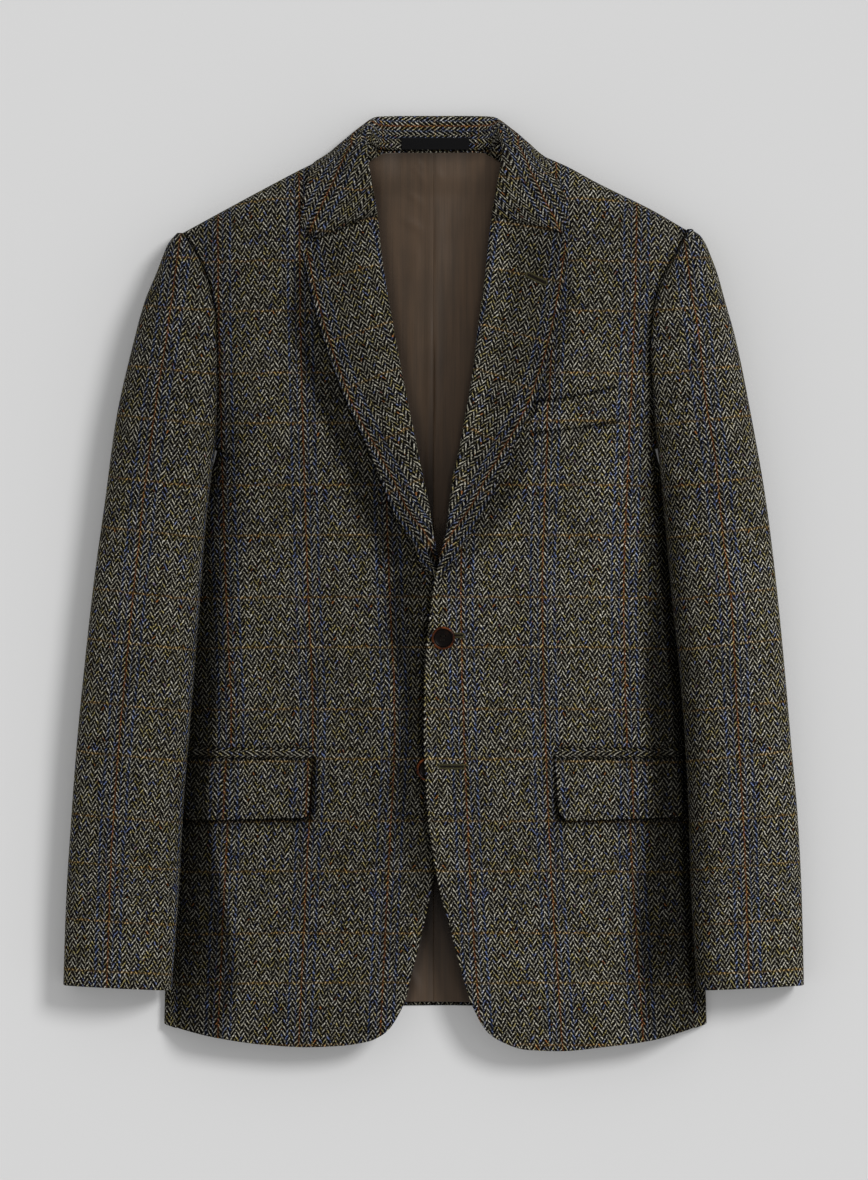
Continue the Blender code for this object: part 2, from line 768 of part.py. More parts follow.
def build():
    clear_scene()
    jacket = bpy.data.collections.new("tweed_jacket")
    bpy.context.scene.collection.children.link(jacket)
    tweed = make_material("tweed", 0.9)
    satin = make_material("lining", 0.45)
    horn = make_material("horn", 0.35)
    plain = make_material("label", 0.6)

    up_body = [0, 0.07, 0.16, 0.26, 0.37, 0.48, 0.59, 0.68, 0.73, 0.765, 0.8, 0.86, 0.91, 0.95, 0.976, 1]
    across_back = [0, 0.2, 0.4, 0.6, 0.8, 1]
    across_flap = [0, 0.03, 0.08, 0.35, 0.6, 0.7, 0.76, 0.83, 0.89, 0.95, 1]
    armhole = [130, 150, 176, 205, 228, 250, 268, 284, 298]
    down_sleeve = [105, 90, 70, 40, 0, -50, -110, -128, -155, -200, -227, -250, -305, CUFF_Y]
    under_rows = [205, 190, 176, 163, 150, 140, 130, UNDERARM_Y] + down_sleeve

    def up_from(hem, end):
        """Rows of a body panel: those beside the side panel, then those beside the sleeve."""
        beside_panel = [v * (UNDERARM_Y - hem) / (end - hem) for v in up_body]
        return beside_panel + [(y - hem) / (end - hem) for y in armhole] + [1]

    for side, word in ((-1, "right"), (1, "left")):
        end = SHOULDER_END_Y[side]
        top_rows = [end] + armhole[:3:-1] + under_rows
        columns = [0, 0.08, 0.18, 0.3, 0.45, 0.6, 0.74, 0.84, 0.9, 0.94, 0.97, 1]
        cloth("front_" + word, front(side), columns, up_from(SIDE_HEM_Y, end), TWEED, tweed, jacket)
        cloth("back_" + word, back(side), across_back, up_from(BACK_HEM_Y, end), TWEED, tweed, jacket)
        round_fold = [0, 0.13, 0.25, 0.32, 0.38, 0.425, 0.47, 0.53, 0.6, 1]
        cloth("side_" + word, side_panel(side), round_fold, up_body, TWEED, tweed, jacket)
        turn = [-1, -0.8, -0.6, -0.4, -0.2, 0, 0.12, 0.3, 0.5, 0.75, 1]
        cloth("lapel_" + word, lapel(side), turn, spread(12), TWEED, tweed, jacket)
        cloth("sleeve_" + word + "_top", top_sleeve(side), spread(13), top_rows, TWEED, tweed, jacket)
        cloth("sleeve_" + word + "_under", under_sleeve(side), spread(6), under_rows, TWEED, tweed, jacket)
        cloth("flap_" + word, flap(side), across_flap, spread(5), TWEED, tweed, jacket)
        cloth("jet_" + word, jet(side), across_flap, [0, 1], TWEED, tweed, jacket)
        short = across_back[:-1]
        cloth("lining_" + word, lining(side), short, up_from(BACK_HEM_Y, end), LINING, satin, jacket)
    cloth("breast_welt", welt(), spread(7), spread(4), TWEED, tweed, jacket)
    sections = [0, 0.11, 0.22, 0.29, 0.34, 0.4, 0.46, 0.52, 0.6, 0.72, 0.84, 0.92, 1]
    cloth("collar", collar, spread(29), sections, TWEED, tweed, jacket)
    cloth("neck_label", label, spread(7), spread(3), LINING, plain, jacket)

    upper_seat = front_z(1, *UPPER_BUTTON) + TWEED / 2 + BUTTON_GAP
    button("button_1", UPPER_BUTTON, upper_seat, horn, jacket)
    lower_seat = front_z(-1, -LOWER_BUTTON[0], LOWER_BUTTON[1]) + TWEED / 2 + BUTTON_GAP + 0.3
    button("button_2", LOWER_BUTTON, lower_seat, horn, jacket)


build()
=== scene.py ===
"""The looks of a tweed jacket laid flat: finer cloth on the forms of its CAD pieces.

Shapes are worked out in millimetres and written in metres. "Out" is the distance from the
centre line towards a side: side -1 is the wearer's right at -X, side +1 the left at +X.
"""

import math

import bmesh
import bpy
import numpy as np
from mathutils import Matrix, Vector
from mathutils.bvhtree import BVHTree
from mathutils.geometry import delaunay_2d_cdt


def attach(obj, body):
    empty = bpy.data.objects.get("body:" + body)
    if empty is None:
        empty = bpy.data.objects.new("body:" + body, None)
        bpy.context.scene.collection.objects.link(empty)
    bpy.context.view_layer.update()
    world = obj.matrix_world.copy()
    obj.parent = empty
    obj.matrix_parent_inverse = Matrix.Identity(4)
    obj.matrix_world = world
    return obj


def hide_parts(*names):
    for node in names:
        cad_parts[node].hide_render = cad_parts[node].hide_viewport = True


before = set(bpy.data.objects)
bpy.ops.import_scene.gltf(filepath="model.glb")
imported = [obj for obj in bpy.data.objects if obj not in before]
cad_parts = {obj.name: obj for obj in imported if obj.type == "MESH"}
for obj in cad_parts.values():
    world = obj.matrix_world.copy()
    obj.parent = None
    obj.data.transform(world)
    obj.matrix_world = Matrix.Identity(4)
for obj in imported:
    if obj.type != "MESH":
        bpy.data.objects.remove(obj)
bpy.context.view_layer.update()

MM = 0.001

# ---------------------------------------------------------------- sizes, as in the CAD part

TWEED, LINING, SEAM = 2.0, 1.0, 0.3
LAYER = TWEED + SEAM
NECK_Y = 381.0
SHOULDER_END_Y = {-1: 308.0, 1: 311.5}
UNDERARM_Y, CUFF_Y = 117.5, -357.5
SIDE_HEM_Y, BACK_HEM_Y, CENTRE_HEM_Y = -391.0, -381.5, -371.3
BACK_Z, SHOULDER_EDGE_Z, SHOULDER_ROUND = TWEED / 2, 18.0, 30.0
SIDE_ROUND, SIDE_BEND, SIDE_FOLD_RADIUS = 42.0, 4.0, 5.0
LINING_HEM = 0.0038
SHOULDER_INSET = 1.0
CLOSING_TOP, FRONT_LOW_Y, FRONT_NECK_Y, LAPEL_LOW = 27.0, -400.0, 388.6, 5.0
# Where the lapel's roll starts before 0, and where the side panel turns under, as shares
ROLL_START, TURN_START, TURN_END = -0.8, 0.25, 0.6
UNDER_SLEEVE_Y, SLEEVE_NOSE = 205.0, 12.0
ROLL_RADIUS, ROLL_SEAM = 3.0, 6.0
# The right front dips under the left one
DIP, DIP_START, DIP_END = 7.2, -46.0, -18.0
FLAP_TOP, FLAP_DEPTH, FLAP_IN, FLAP_OUT = -153.5, 53.0, 107.0, 217.0
FLAP_LIFT, FLAP_PROUD, JET_DEPTH = 2.9, 2.0, 8.0
# The breast welt's lower and upper edges, each as the (out, y) of its ends
WELT_LOW, WELT_HIGH = ((84.0, 133.8), (160.5, 143.6)), ((93.0, 158.8), (159.5, 171.6))
WELT_SAG = 1.5
BUTTON_GAP, BUTTON_RADIUS, BUTTON_RIM = 0.4, 10.2, 2.6
UPPER_BUTTON, LOWER_BUTTON = (8.5, -48.0), (-4.8, -163.5)

# Height y, then how far out: right, left
CLOSING_EDGE = (
    (-404, 56.0, 58.5), (-394, 40.0, 46.0), (-381, 31.0, 38.0), (-366, 24.0, 31.5),
    (-345, 19.0, 25.0), (-305, 9.0, 14.5), (-262, -0.5, 3.0), (-235, -8.5, -1.5),
    (-200, -13.0, -6.0), (-130, -15.5, -9.0), (-90, -16.3, -8.8), (-38, -12.5, -5.0),
    (0, -8.3, -0.2), (27, -3.3, 6.0),
)
ROLL_LINE = (
    (27, -3.5, 6.5), (50, 1.0, 11.5), (66, 3.2, 13.3), (91, 8.4, 16.3), (117, 13.7, 22.3),
    (145, 19.5, 27.3), (190, 28.6, 34.8), (234, 36.5, 40.0), (265, 42.0, 44.5),
    (296, 46.2, 47.7), (325, 49.3, 51.3), (353, 55.0, 57.0), (386, 63.0, 65.0),
)
LAPEL_EDGE = (
    (5, 0.5, 8.0), (12, 6.5, 13.5), (20, 12.5, 19.0), (36, 18.5, 27.5), (57, 33.0, 41.0),
    (91, 47.0, 57.6), (119, 58.5, 70.0), (161, 77.7, 89.0), (202, 92.8, 103.0),
    (254, 107.8, 114.4), (291, 115.7, 120.0),
)
GORGE = (
    (0.0, 323.0, 322.0), (0.35, 314.0, 317.0), (0.8, 301.5, 309.5), (0.9, 296.2, 306.5),
    (1.0, 291.0, 290.0),
)
# How far along the gorge the notch cuts in, and the point of the collar's leaf
NOTCH, LEAF_POINT = {-1: 0.8, 1: 0.9}, {-1: (117.0, 314.6), 1: (120.5, 314.6)}
SLEEVE_INNER = (
    (-359, 230.5, 232.0), (-278, 224.8, 227.0), (-190, 219.6, 224.0), (-102, 212.5, 218.7),
    (-14, 205.5, 209.9), (44, 201.1, 204.6), (100, 194.9, 199.5), (117.5, 192.3, 197.4),
    (143, 190.5, 194.5), (176, 190.0, 192.3), (205, 190.5, 190.8), (234, 191.4, 192.8),
    (250, 194.6, 195.5), (264, 197.6, 200.0), (278, 202.8, 206.5), (289, 208.1, 213.0),
    (299, 214.3, 218.5), (308, 220.2, 222.0), (312, 225.0, 223.5), (322, 245.0, 245.0),
    (395, 420.0, 420.0),
)
SLEEVE_OUTER = (
    (-355, 326.0, 326.2), (-278, 323.4, 324.3), (-208, 319.0, 320.8), (-138, 313.7, 314.6),
    (-67, 306.7, 308.4), (3, 298.8, 301.4), (73, 289.1, 292.6), (144, 279.4, 280.3),
    (214, 263.6, 266.2), (249, 253.9, 256.5), (274, 243.6, 249.5), (288, 238.4, 244.2),
    (299, 233.6, 239.6), (306, 228.0, 235.0), (310, 224.0, 229.0),
)
SIDE_FOLD = (
    (-391, 237.5, 241.0), (-330, 236.0, 239.0), (-250, 233.5, 237.0), (-150, 230.5, 235.0),
    (-40, 227.0, 232.0), (20, 220.0, 225.0), (60, 211.5, 216.5), (90, 200.0, 205.0),
    (105, 194.0, 199.0), (117.5, 190.5, 195.5),
)
FRONT_SEAM = (
    (-391, 225.0, 229.0), (-250, 221.5, 225.0), (-150, 218.5, 223.0), (-40, 215.0, 220.0),
    (20, 208.5, 213.5), (60, 200.5, 205.5), (90, 190.5, 195.5), (105, 186.0, 191.0),
    (117.5, 184.0, 189.0),
)
BACK_SEAM = (
    (-382, 181.0, 184.0), (-250, 174.0, 177.0), (-100, 168.0, 171.0), (0, 167.0, 170.0),
    (60, 170.0, 174.0), (100, 177.0, 182.0), (117.5, 181.5, 186.5),
)
# How far out, then height y: right, left
FRONT_HEM = (
    (40, -396.0, -388.0), (56, -404.0, -402.5), (82, -408.0, -411.3), (110, -409.0, -412.3),
    (150, -406.5, -408.5), (190, -400.5, -403.0), (220, -393.5, -395.0), (237, -388.5, -389.5),
)
SHOULDER_LINE = (
    (64, 389.5, 389.5), (116, 365.0, 368.0), (142, 351.4, 354.0), (194, 323.3, 328.0),
    (220.4, 308.8, 312.6), (260, 287.0, 290.0),
)
# Height y, then z of: chest, armhole seam and fold, sleeve's inner side, its top, its outer fold
HEIGHTS = (
    (-412, 34, 7.5, 17, 48, 24), (-359, 36, 7.5, 18, 49, 24), (-300, 38, 7.5, 20, 51, 25),
    (-200, 41, 7.5, 21, 55, 26), (-100, 43, 7.5, 22, 58, 27), (0, 46, 7.5, 22, 59, 27),
    (60, 49, 7.5, 22, 60, 28), (90, 51, 8.5, 22, 61, 28), (105, 51, 11, 22, 61, 28),
    (117.5, 52, 20, 20, 61, 28), (150, 52, 31, 31, 61, 28), (176, 52, 39, 39, 62, 28),
    (205, 52, 43, 43, 62, 28), (250, 51, 41, 41, 58, 26), (265, 50, 39, 39, 55, 25),
    (285, 48, 34, 34, 48, 22), (300, 46, 27, 27, 38, 20), (308.4, 45, 22, 22, 28, 18),
    (340, 44, 20, 20, 22, 16), (400, 40, 20, 20, 22, 16),
)
SLEEVE_SLANT = ((-358, 4.5), (-200, 8), (0, 10), (117, 9), (200, 7), (250, 3), (300, 0), (312, 0))
ELBOW_SEAM = ((140, 1.30), (160, 1.36), (190, 1.62), (215, 1.93), (222, 2.0))
INSEAM = ((40, -0.29), (70, -0.27), (100, -0.16), (117.5, 0.0), (130, 0.0))
# Round the collar from the centre back: neck seam, crest, middle and edge of the fall as
# (out, y, z), and the angle that the fall's outside faces
COLLAR_CENTRE, COLLAR_ROLL, GORGE_DROP = 1.1, 4.6, 8.0
COLLAR_STATIONS = (
    ((0, 382.2, 5.2), (0, 411.3, 7.6), (0, 388, 1.0), (0, 366, 1.0), -90),
    ((27, 382.2, 5.2), (27, 411.3, 7.8), (29, 388, 1.0), (31, 366, 1.0), -90),
    ((46, 383.0, 7.5), (50, 410.6, 10.0), (56, 390, 1.4), (60, 369, 1.0), -80),
    ((56, 387.0, 14), (60, 404.0, 18), (73, 391, 8.5), (85, 375, 2.6), -45),
    ((64, 389.0, 25), (61.5, 394.0, 30), (84, 385.5, 23), (99, 374.0, 12), 20),
    ((65.5, 374.0, 38), (60.5, 380.0, 42), (86, 373.0, 41), (109, 365.5, 33), 65),
    ((61.5, 354.0, 42), (57.5, 361.0, 49), (85, 354, 51.5), (111.5, 352, 48), 88),
    ((58, 337.0, 45), (54, 342.0, 53), (84, 333, 53.5), (115, 334, 51.5), 90),
    ((55, 325.5, 47), (50.3, 325.0, 55), (84, 312.5, 55), (118.5, 315, 53), 90),
)

# The cloth's grain: height y, then how far out one check line runs on front and on sleeve
FRONT_GRAIN = (
    (-400, 118.4, 113.0), (-252, 111.5, 103.4), (-124, 106.0, 98.1), (0, 110.5, 95.6),
    (53, 112.2, 97.0), (276, 117.5, 106.0), (390, 118.0, 108.0),
)
SLEEVE_GRAIN = (
    (-335, 286.4, 276.8), (-230, 282.6, 273.2), (-122, 277.0, 267.1), (-21, 267.0, 261.8),
    (52, 258.0, 253.0), (100, 251.0, 248.6), (168, 242.0, 238.0), (213, 234.5, 233.6),
    (257, 228.6, 226.6), (300, 223.3, 221.3),
)
GRAIN_Y = 42.7


# ---------------------------------------------------------------- numbers


class Curve:
    """A smooth curve through a table's rows that doesn't overshoot. It takes arrays."""

    def __init__(self, rows, column=1):
        self.x = np.array([row[0] for row in rows], float)
        self.y = np.array([row[column] for row in rows], float)
        steps = np.diff(self.y) / np.diff(self.x)
        before, after = steps[:-1], steps[1:]
        both = before * after
        inside = np.where(both > 0, 2 * both / np.where(both > 0, before + after, 1), 0)
        self.slope = np.concatenate([steps[:1], inside, steps[-1:]])

    def __call__(self, at):
        at = np.asarray(at, float)
        i = np.clip(np.searchsorted(self.x, at, side="right") - 1, 0, len(self.x) - 2)
        width = self.x[i + 1] - self.x[i]
        t = np.clip((at - self.x[i]) / width, 0, 1)
        rise = self.y[i + 1] - self.y[i]
        start, end = self.slope[i] * width, self.slope[i + 1] * width
        square, cube = 3 * rise - 2 * start - end, start + end - 2 * rise
        inside = self.y[i] + t * (start + t * (square + t * cube))
        below = np.minimum(at - self.x[0], 0) * self.slope[0]
        above = np.maximum(at - self.x[-1], 0) * self.slope[-1]
        return inside + below + above


def two_sided(rows):
    return {-1: Curve(rows, 1), 1: Curve(rows, 2)}


CLOSING, ROLL, LAPEL = two_sided(CLOSING_EDGE), two_sided(ROLL_LINE), two_sided(LAPEL_EDGE)
GORGE_LINE, INNER, OUTER = two_sided(GORGE), two_sided(SLEEVE_INNER), two_sided(SLEEVE_OUTER)
FOLD, FRONT_SIDE, BACK_SIDE = two_sided(SIDE_FOLD), two_sided(FRONT_SEAM), two_sided(BACK_SEAM)
HEM, SHOULDER = two_sided(FRONT_HEM), two_sided(SHOULDER_LINE)
GRAIN, SLEEVE_LINE = two_sided(FRONT_GRAIN), two_sided(SLEEVE_GRAIN)
CHEST, BASE, SLEEVE_START, SLEEVE_TOP, SLEEVE_FOLD = [Curve(HEIGHTS, k) for k in range(1, 6)]
SLANT, ELBOW, INNER_SEAM = Curve(SLEEVE_SLANT), Curve(ELBOW_SEAM), Curve(INSEAM)


def mix(a, b, share):
    return a + (b - a) * share


def ease(share):
    share = np.clip(share, 0, 1)
    return share * share * (3 - 2 * share)


def rounded(share):
    share = np.clip(share, 0, 1)
    return np.sqrt(np.maximum(1 - (1 - share) ** 2, 0))


def bump(distance, width):
    """1 at a distance of 0, falling smoothly to 0 about two widths away."""
    return np.exp(-((distance / width) ** 2))


# ---------------------------------------------------------------- heights of the body

# Creases listed for each front, as (out, y) of both ends, half width and depth in mm. A
# minus is a trough and a plus a soft ridge.
FRONT_CREASES = {
    -1: (
        (186, 108, 128, 34, 9, -1.5), (196, 60, 150, -36, 11, -1.3), (60, 150, 24, 48, 10, -1.6),
        (110, 210, 66, 96, 16, 1.2), (150, -20, 136, -140, 18, -0.9), (84, -215, 70, -360, 20, 1.0),
        (168, -215, 176, -350, 14, -1.2), (30, -60, 70, -100, 9, -0.8), (26, -40, 76, -22, 8, -0.7),
        (128, -222, 118, -330, 12, -0.7), (200, -240, 206, -380, 12, -0.8),
        (150, 250, 168, 150, 15, -0.9),
    ),
    1: (
        (190, 104, 136, 20, 10, -1.4), (198, 46, 158, -60, 12, -1.2), (66, 150, 34, 44, 9, -1.4),
        (120, 100, 84, 0, 18, 1.0), (146, -30, 150, -148, 15, -0.9), (90, -220, 84, -372, 18, 0.9),
        (172, -212, 184, -330, 14, -1.1), (30, -58, 66, -92, 10, -0.9), (28, -36, 90, -14, 8, -0.7),
        (132, -226, 140, -350, 13, -0.8), (40, -180, 60, -300, 12, -0.7),
        (158, 262, 172, 190, 14, -0.8),
    ),
}

def creased(creases, out, y):
    """Height of the creases: each tapers to nothing at both ends and bends a little."""
    total = np.zeros(np.broadcast(out, y).shape)
    for out_a, y_a, out_b, y_b, half, depth in creases:
        along_x, along_y = out_b - out_a, y_b - y_a
        length = math.hypot(along_x, along_y)
        along_x, along_y = along_x / length, along_y / length
        along = ((out - out_a) * along_x + (y - y_a) * along_y) / length
        across = (out - out_a) * along_y - (y - y_a) * along_x
        bend = 0.05 * length * np.sin(math.pi * np.clip(along, 0, 1))
        taper = ease(along / 0.3) * ease((1 - along) / 0.45)
        total += depth * taper * bump(across - bend, half * (0.7 + 0.5 * np.clip(along, 0, 1)))
    return total


def swell(x, y, seed, size):
    """A gentle unevenness of about 1 either way, from a few crossing waves."""
    total = 0.0
    for k in range(5):
        angle = seed * 1.7 + k * 2.4
        wave = size * (0.75 + 0.23 * k)
        phase = seed * 3.1 + k * 1.9
        along = x * math.cos(angle) + y * math.sin(angle)
        total = total + np.sin(along * 2 * math.pi / wave + phase)
    return total / 3


def shoulder_y(side, out):
    """Where front and back meet, in the middle of their cloth."""
    return SHOULDER[side](out) - SHOULDER_INSET


def from_shoulder(side, out, y):
    """Square to the slanting shoulder."""
    return (shoulder_y(side, out) - y) * 0.88


def to_stand(out):
    """Rise of the shoulder's edge beside the neck, up to the collar stand's seam."""
    return 8.0 * ease((out - 46) / 14) * ease((72 - out) / 8)


def front_z(side, out, y):
    inward = INNER[side](y) - out
    base = BASE(y)
    shoulder = rounded(from_shoulder(side, out, y) / SHOULDER_ROUND)
    top = mix(SHOULDER_EDGE_Z + 0.2 + to_stand(out), CHEST(y), shoulder)
    bent = (inward + np.hypot(inward, SIDE_BEND)) / 2
    share = np.sin(math.pi / 2 * np.minimum(bent / SIDE_ROUND, 1.0))
    z = mix(np.minimum(base, top), top, share)
    if side < 0:
        z = z - DIP * ease((-out - DIP_START) / (DIP_END - DIP_START)) * ease((45 - y) / 35)
    inner = ease((inward - 14) / 30) * ease((from_shoulder(side, out, y) - 10) / 30)
    return z + inner * (creased(FRONT_CREASES[side], out, y) + 0.35 * swell(out, y, 2 + side, 90))


def back_z(side, out, y):
    over_collar = 2.7 * ease((y - 340) / 20) * ease((112 - out) / 30)
    edge = 1 - rounded(from_shoulder(side, out, y) / 20)
    rise = to_stand(out) * ease((y - 372) / 14)
    return BACK_Z + mix(over_collar, SHOULDER_EDGE_Z - 2 * BACK_Z, edge) + rise


def laid_on(height, side, out, y, lift):
    """A point lifted off a surface, square to it."""
    step = 0.5
    slope_out = (height(side, out + step, y) - height(side, out - step, y)) / (2 * step)
    slope_y = (height(side, out, y + step) - height(side, out, y - step)) / (2 * step)
    up = lift / np.sqrt(1 + slope_out**2 + slope_y**2)
    return side * (out - slope_out * up), y - slope_y * up, height(side, out, y) + up


# ---------------------------------------------------------------- pieces as surfaces


def coons(inner, outer, low, high, u, v):
    """A flat shape between two edges. Its lower and upper ends are heights by out and u."""

    def lower(u):
        out = mix(inner(0.0)[0], outer(0.0)[0], u)
        return out, low(out, u)

    def upper(u):
        out = mix(inner(1.0)[0], outer(1.0)[0], u)
        return out, high(out, u)

    result = []
    for axis in (0, 1):
        along = mix(inner(v)[axis], outer(v)[axis], u)
        across = mix(lower(u)[axis], upper(u)[axis], v)
        first, last = (mix(end(0.0)[axis], end(1.0)[axis], u) for end in (lower, upper))
        result.append(along + across - mix(first, last, v))
    return result


def body(side, height, start, edges, u, v):
    """A front or back. Past the start its upper edge lies on the line where the two meet."""
    out, y = coons(*edges, u, v)
    end_out, end_y = coons(*edges, u, 1.0)
    y = y + (shoulder_y(side, end_out) - end_y) * v * ease((end_out - start) / 4)
    return side * out, y, height(side, out, y)


def front(side, u, v):
    def inner(v):
        y = mix(FRONT_LOW_Y, FRONT_NECK_Y, v)
        short = mix(1.0, ROLL_SEAM + 1.5, ease((y - 14) / 22))
        # At the neck it comes in to the stand's seam
        short = short - (ROLL_SEAM + 1.5) * np.clip((y - 366) / 22, 0, 1) ** 2
        edge = mix(CLOSING[side](np.minimum(y, CLOSING_TOP)), ROLL[side](y), ease((y - 6) / 14))
        return edge + short, y

    def outer(v):
        y = mix(SIDE_HEM_Y, SHOULDER_END_Y[side], v)
        return np.where(y < UNDERARM_Y + 0.1, FRONT_SIDE[side](y), INNER[side](y) - 0.9), y

    def low(out, u):
        return HEM[side](out)

    def high(out, u):
        return shoulder_y(side, out)

    return body(side, front_z, 56, (inner, outer, low, high), u, v)


def back(side, u, v):
    def inner(v):
        return SEAM / 2, mix(CENTRE_HEM_Y, NECK_Y, v)

    def outer(v):
        y = mix(BACK_HEM_Y, SHOULDER_END_Y[side], v)
        return np.where(y < UNDERARM_Y + 0.1, BACK_SIDE[side](y) - SEAM, INNER[side](y) + 0.2), y

    def low(out, u):
        return mix(CENTRE_HEM_Y, BACK_HEM_Y, u * u)

    def high(out, u):
        return mix(NECK_Y, shoulder_y(side, out), ease((out - 46) / 20))

    return body(side, back_z, 60, (inner, outer, low, high), u, v)


def side_panel(side, u, v):
    y = mix(mix(SIDE_HEM_Y, BACK_HEM_Y, ease(u)), UNDERARM_Y - SEAM, v)
    fold = FOLD[side](y) - 1
    start = FRONT_SIDE[side](y) + SEAM + 0.3
    end = BACK_SIDE[side](y)
    radius = np.minimum(SIDE_FOLD_RADIUS, (fold - start) * 0.8)
    centre = fold - radius
    top = front_z(side, centre, y)
    over = mix(start, centre, u / TURN_START)
    angle = math.pi * np.clip((u - TURN_START) / (TURN_END - TURN_START), 0, 1)
    middle, half = (top + BACK_Z) / 2, (top - BACK_Z) / 2
    under = mix(centre, end, (u - TURN_END) / (1 - TURN_END))
    part = [u < TURN_START, u < TURN_END]
    out = np.select(part, [over, centre + radius * np.sin(angle)], under)
    z = np.select(part, [front_z(side, over, y), middle + half * np.cos(angle)], BACK_Z)
    return side * out, y, z


# Creases of the satin in the neck opening and at the hem: out, y of both ends, width, height
LINING_CREASES = {
    -1: (
        (17, 374, 7, 362, 1.6, 0.9), (20, 370, 6, 349, 2.6, 0.8), (26, 346, 6, 330, 3.0, 0.8),
        (30, 322, 4, 306, 3.6, 0.8), (14, 300, 22, 262, 5.0, 0.5), (7, 250, 10, 120, 7.0, 0.6),
        (24, -335, 12, -368, 4.0, 0.6), (16, 240, 22, 180, 6.0, 0.4),
    ),
    1: (
        (3, 366, 10, 352, 3.0, 0.5), (8, 340, 12, 250, 7.0, 0.6), (26, 330, 14, 300, 5.0, 0.5),
        (6, 230, 9, 110, 6.0, 0.7), (12, -330, 20, -366, 4.0, 0.5), (30, 290, 22, 220, 6.0, 0.4),
    ),
}


def lining(side, u, v):
    x, y, _ = back(side, u, mix(LINING_HEM, mix(0.998, 0.96, ease((u - 0.2) / 0.15)), v))
    out = side * x
    over_neck_edge = 3.6 * ease((y - 325) / 45) * ease((out - 28) / 20)
    lift = TWEED / 2 + LINING / 2 + SEAM + 0.3 + over_neck_edge
    fold = 0.35 * bump(out - 4.0, 2.6) if side < 0 else 0.2 * bump(out - 3.0, 2.4)
    crease = (creased(LINING_CREASES[side], out, y) + fold) * ease((out - 0.4) / 1.2)
    return laid_on(back_z, side, out, y, lift + crease * ease((1 - u) / 0.2))


def roll_radius(v):
    return mix(1.2, ROLL_RADIUS, ease(v / 0.14))


def lapel_inner(side, v):
    y = mix(LAPEL_LOW, float(GORGE_LINE[side](0)), v)
    return ROLL[side](y) + 1 + roll_radius(v), y


def lapel_flat(side, u, v):
    def inner(v):
        return lapel_inner(side, v)

    def outer(v):
        y = mix(LAPEL_LOW, float(GORGE_LINE[side](1)), v)
        return LAPEL[side](y) - 1, y

    return coons(inner, outer, lambda out, u: LAPEL_LOW, lambda out, u: GORGE_LINE[side](u), u, v)


def lapel(side, u, v):
    out0, y0 = lapel_inner(side, v)
    radius = roll_radius(v)
    tuck = mix(out0 + ROLL_SEAM - radius - 0.2, out0, np.clip((u + 1) / 0.2, 0, 1))
    angle = math.pi * np.clip((u - ROLL_START) / -ROLL_START, 0, 1)
    base = front_z(side, out0, y0)
    turn_out = out0 - radius * np.sin(angle)
    turn_z = base + radius * (1 - np.cos(angle))
    over = np.clip(u, 0, 1)
    out, y = lapel_flat(side, over, v)
    proud = 4 * ease((0.4 - v) / 0.35) * ease(v / 0.2) * np.sin(math.pi * over)
    belly = 1.2 * np.sin(math.pi * np.clip(v, 0, 1)) * np.sin(math.pi * over)
    lift = mix(2 * radius, mix(2.3, 3.0, ease(v / 0.2)), ease(over / 0.7)) + proud + belly
    x1, y1, z1 = laid_on(front_z, side, out, y, lift)
    part = [u < ROLL_START, u < 0]
    x = np.select(part, [side * tuck, side * turn_out], x1)
    z = np.select(part, [front_z(side, tuck, y0), turn_z], z1)
    y = np.where(u < 0, y0, y1)
    return x, y, z


STATION_CURVES = [
    [Curve([(i, row[point][axis]) for i, row in enumerate(COLLAR_STATIONS)]) for axis in range(3)]
    for point in range(4)
]
FACING = Curve([(i, row[4]) for i, row in enumerate(COLLAR_STATIONS)])


def collar_row(station, shares):
    """Points of the collar at one station, for shares from the neck seam to the fall's edge."""
    side = -1 if station < 0 else 1
    place = min(abs(station), len(COLLAR_STATIONS) - 1)
    facing = math.radians(FACING(place))
    seam, crest, middle, edge = ([float(c(place)) for c in curves] for curves in STATION_CURVES)
    outward = (math.cos(facing), 0.0, math.sin(facing))
    stand = [mix(s, c, 0.72) - COLLAR_ROLL * o for s, c, o in zip(seam, crest, outward)]
    turn = [mix(c, m, 0.28) + COLLAR_ROLL * o for c, m, o in zip(crest, middle, outward)]
    turn[2] = max(turn[2], 1.0)
    drop = GORGE_DROP * float(ease(place - len(COLLAR_STATIONS) + 2))
    lower = [mix(m, e, 0.55) for m, e in zip(middle, edge)]
    lower[1] -= drop
    keys = (
        (0, seam), (0.22, stand), (0.4, crest), (0.52, turn), (0.72, middle), (0.88, lower),
        (1, edge),
    )
    out, y, z = (Curve([(t, point[axis]) for t, point in keys])(shares) for axis in range(3))
    if side > 0:
        # The left leaf is narrower where it crosses the shoulder
        out = out - 6.5 * bump(place - 5.3, 0.95) * ease((shares - 0.45) / 0.5)
    return COLLAR_CENTRE + side * out, y, z


def gorge_row(side, shares):
    """The collar's end: it follows the lapel's top, a seam away, out to the notch and the leaf."""
    u = np.interp(shares, (0, 0.22, 0.45, 0.88), (-1, ROLL_START, 0, NOTCH[side]))
    x, y, z = lapel(side, u, np.ones_like(shares))
    leaf = np.clip((shares - 0.88) / 0.12, 0, 1)
    leaf_out, leaf_y = LEAF_POINT[side]
    return mix(x, side * leaf_out, leaf), mix(y + 1.7, leaf_y, leaf), z + 0.25 - 0.4 * leaf


def stacked(rows):
    """The x, y and z of a grid from rows of points."""
    return tuple(np.array([row[axis] for row in rows]) for axis in range(3))


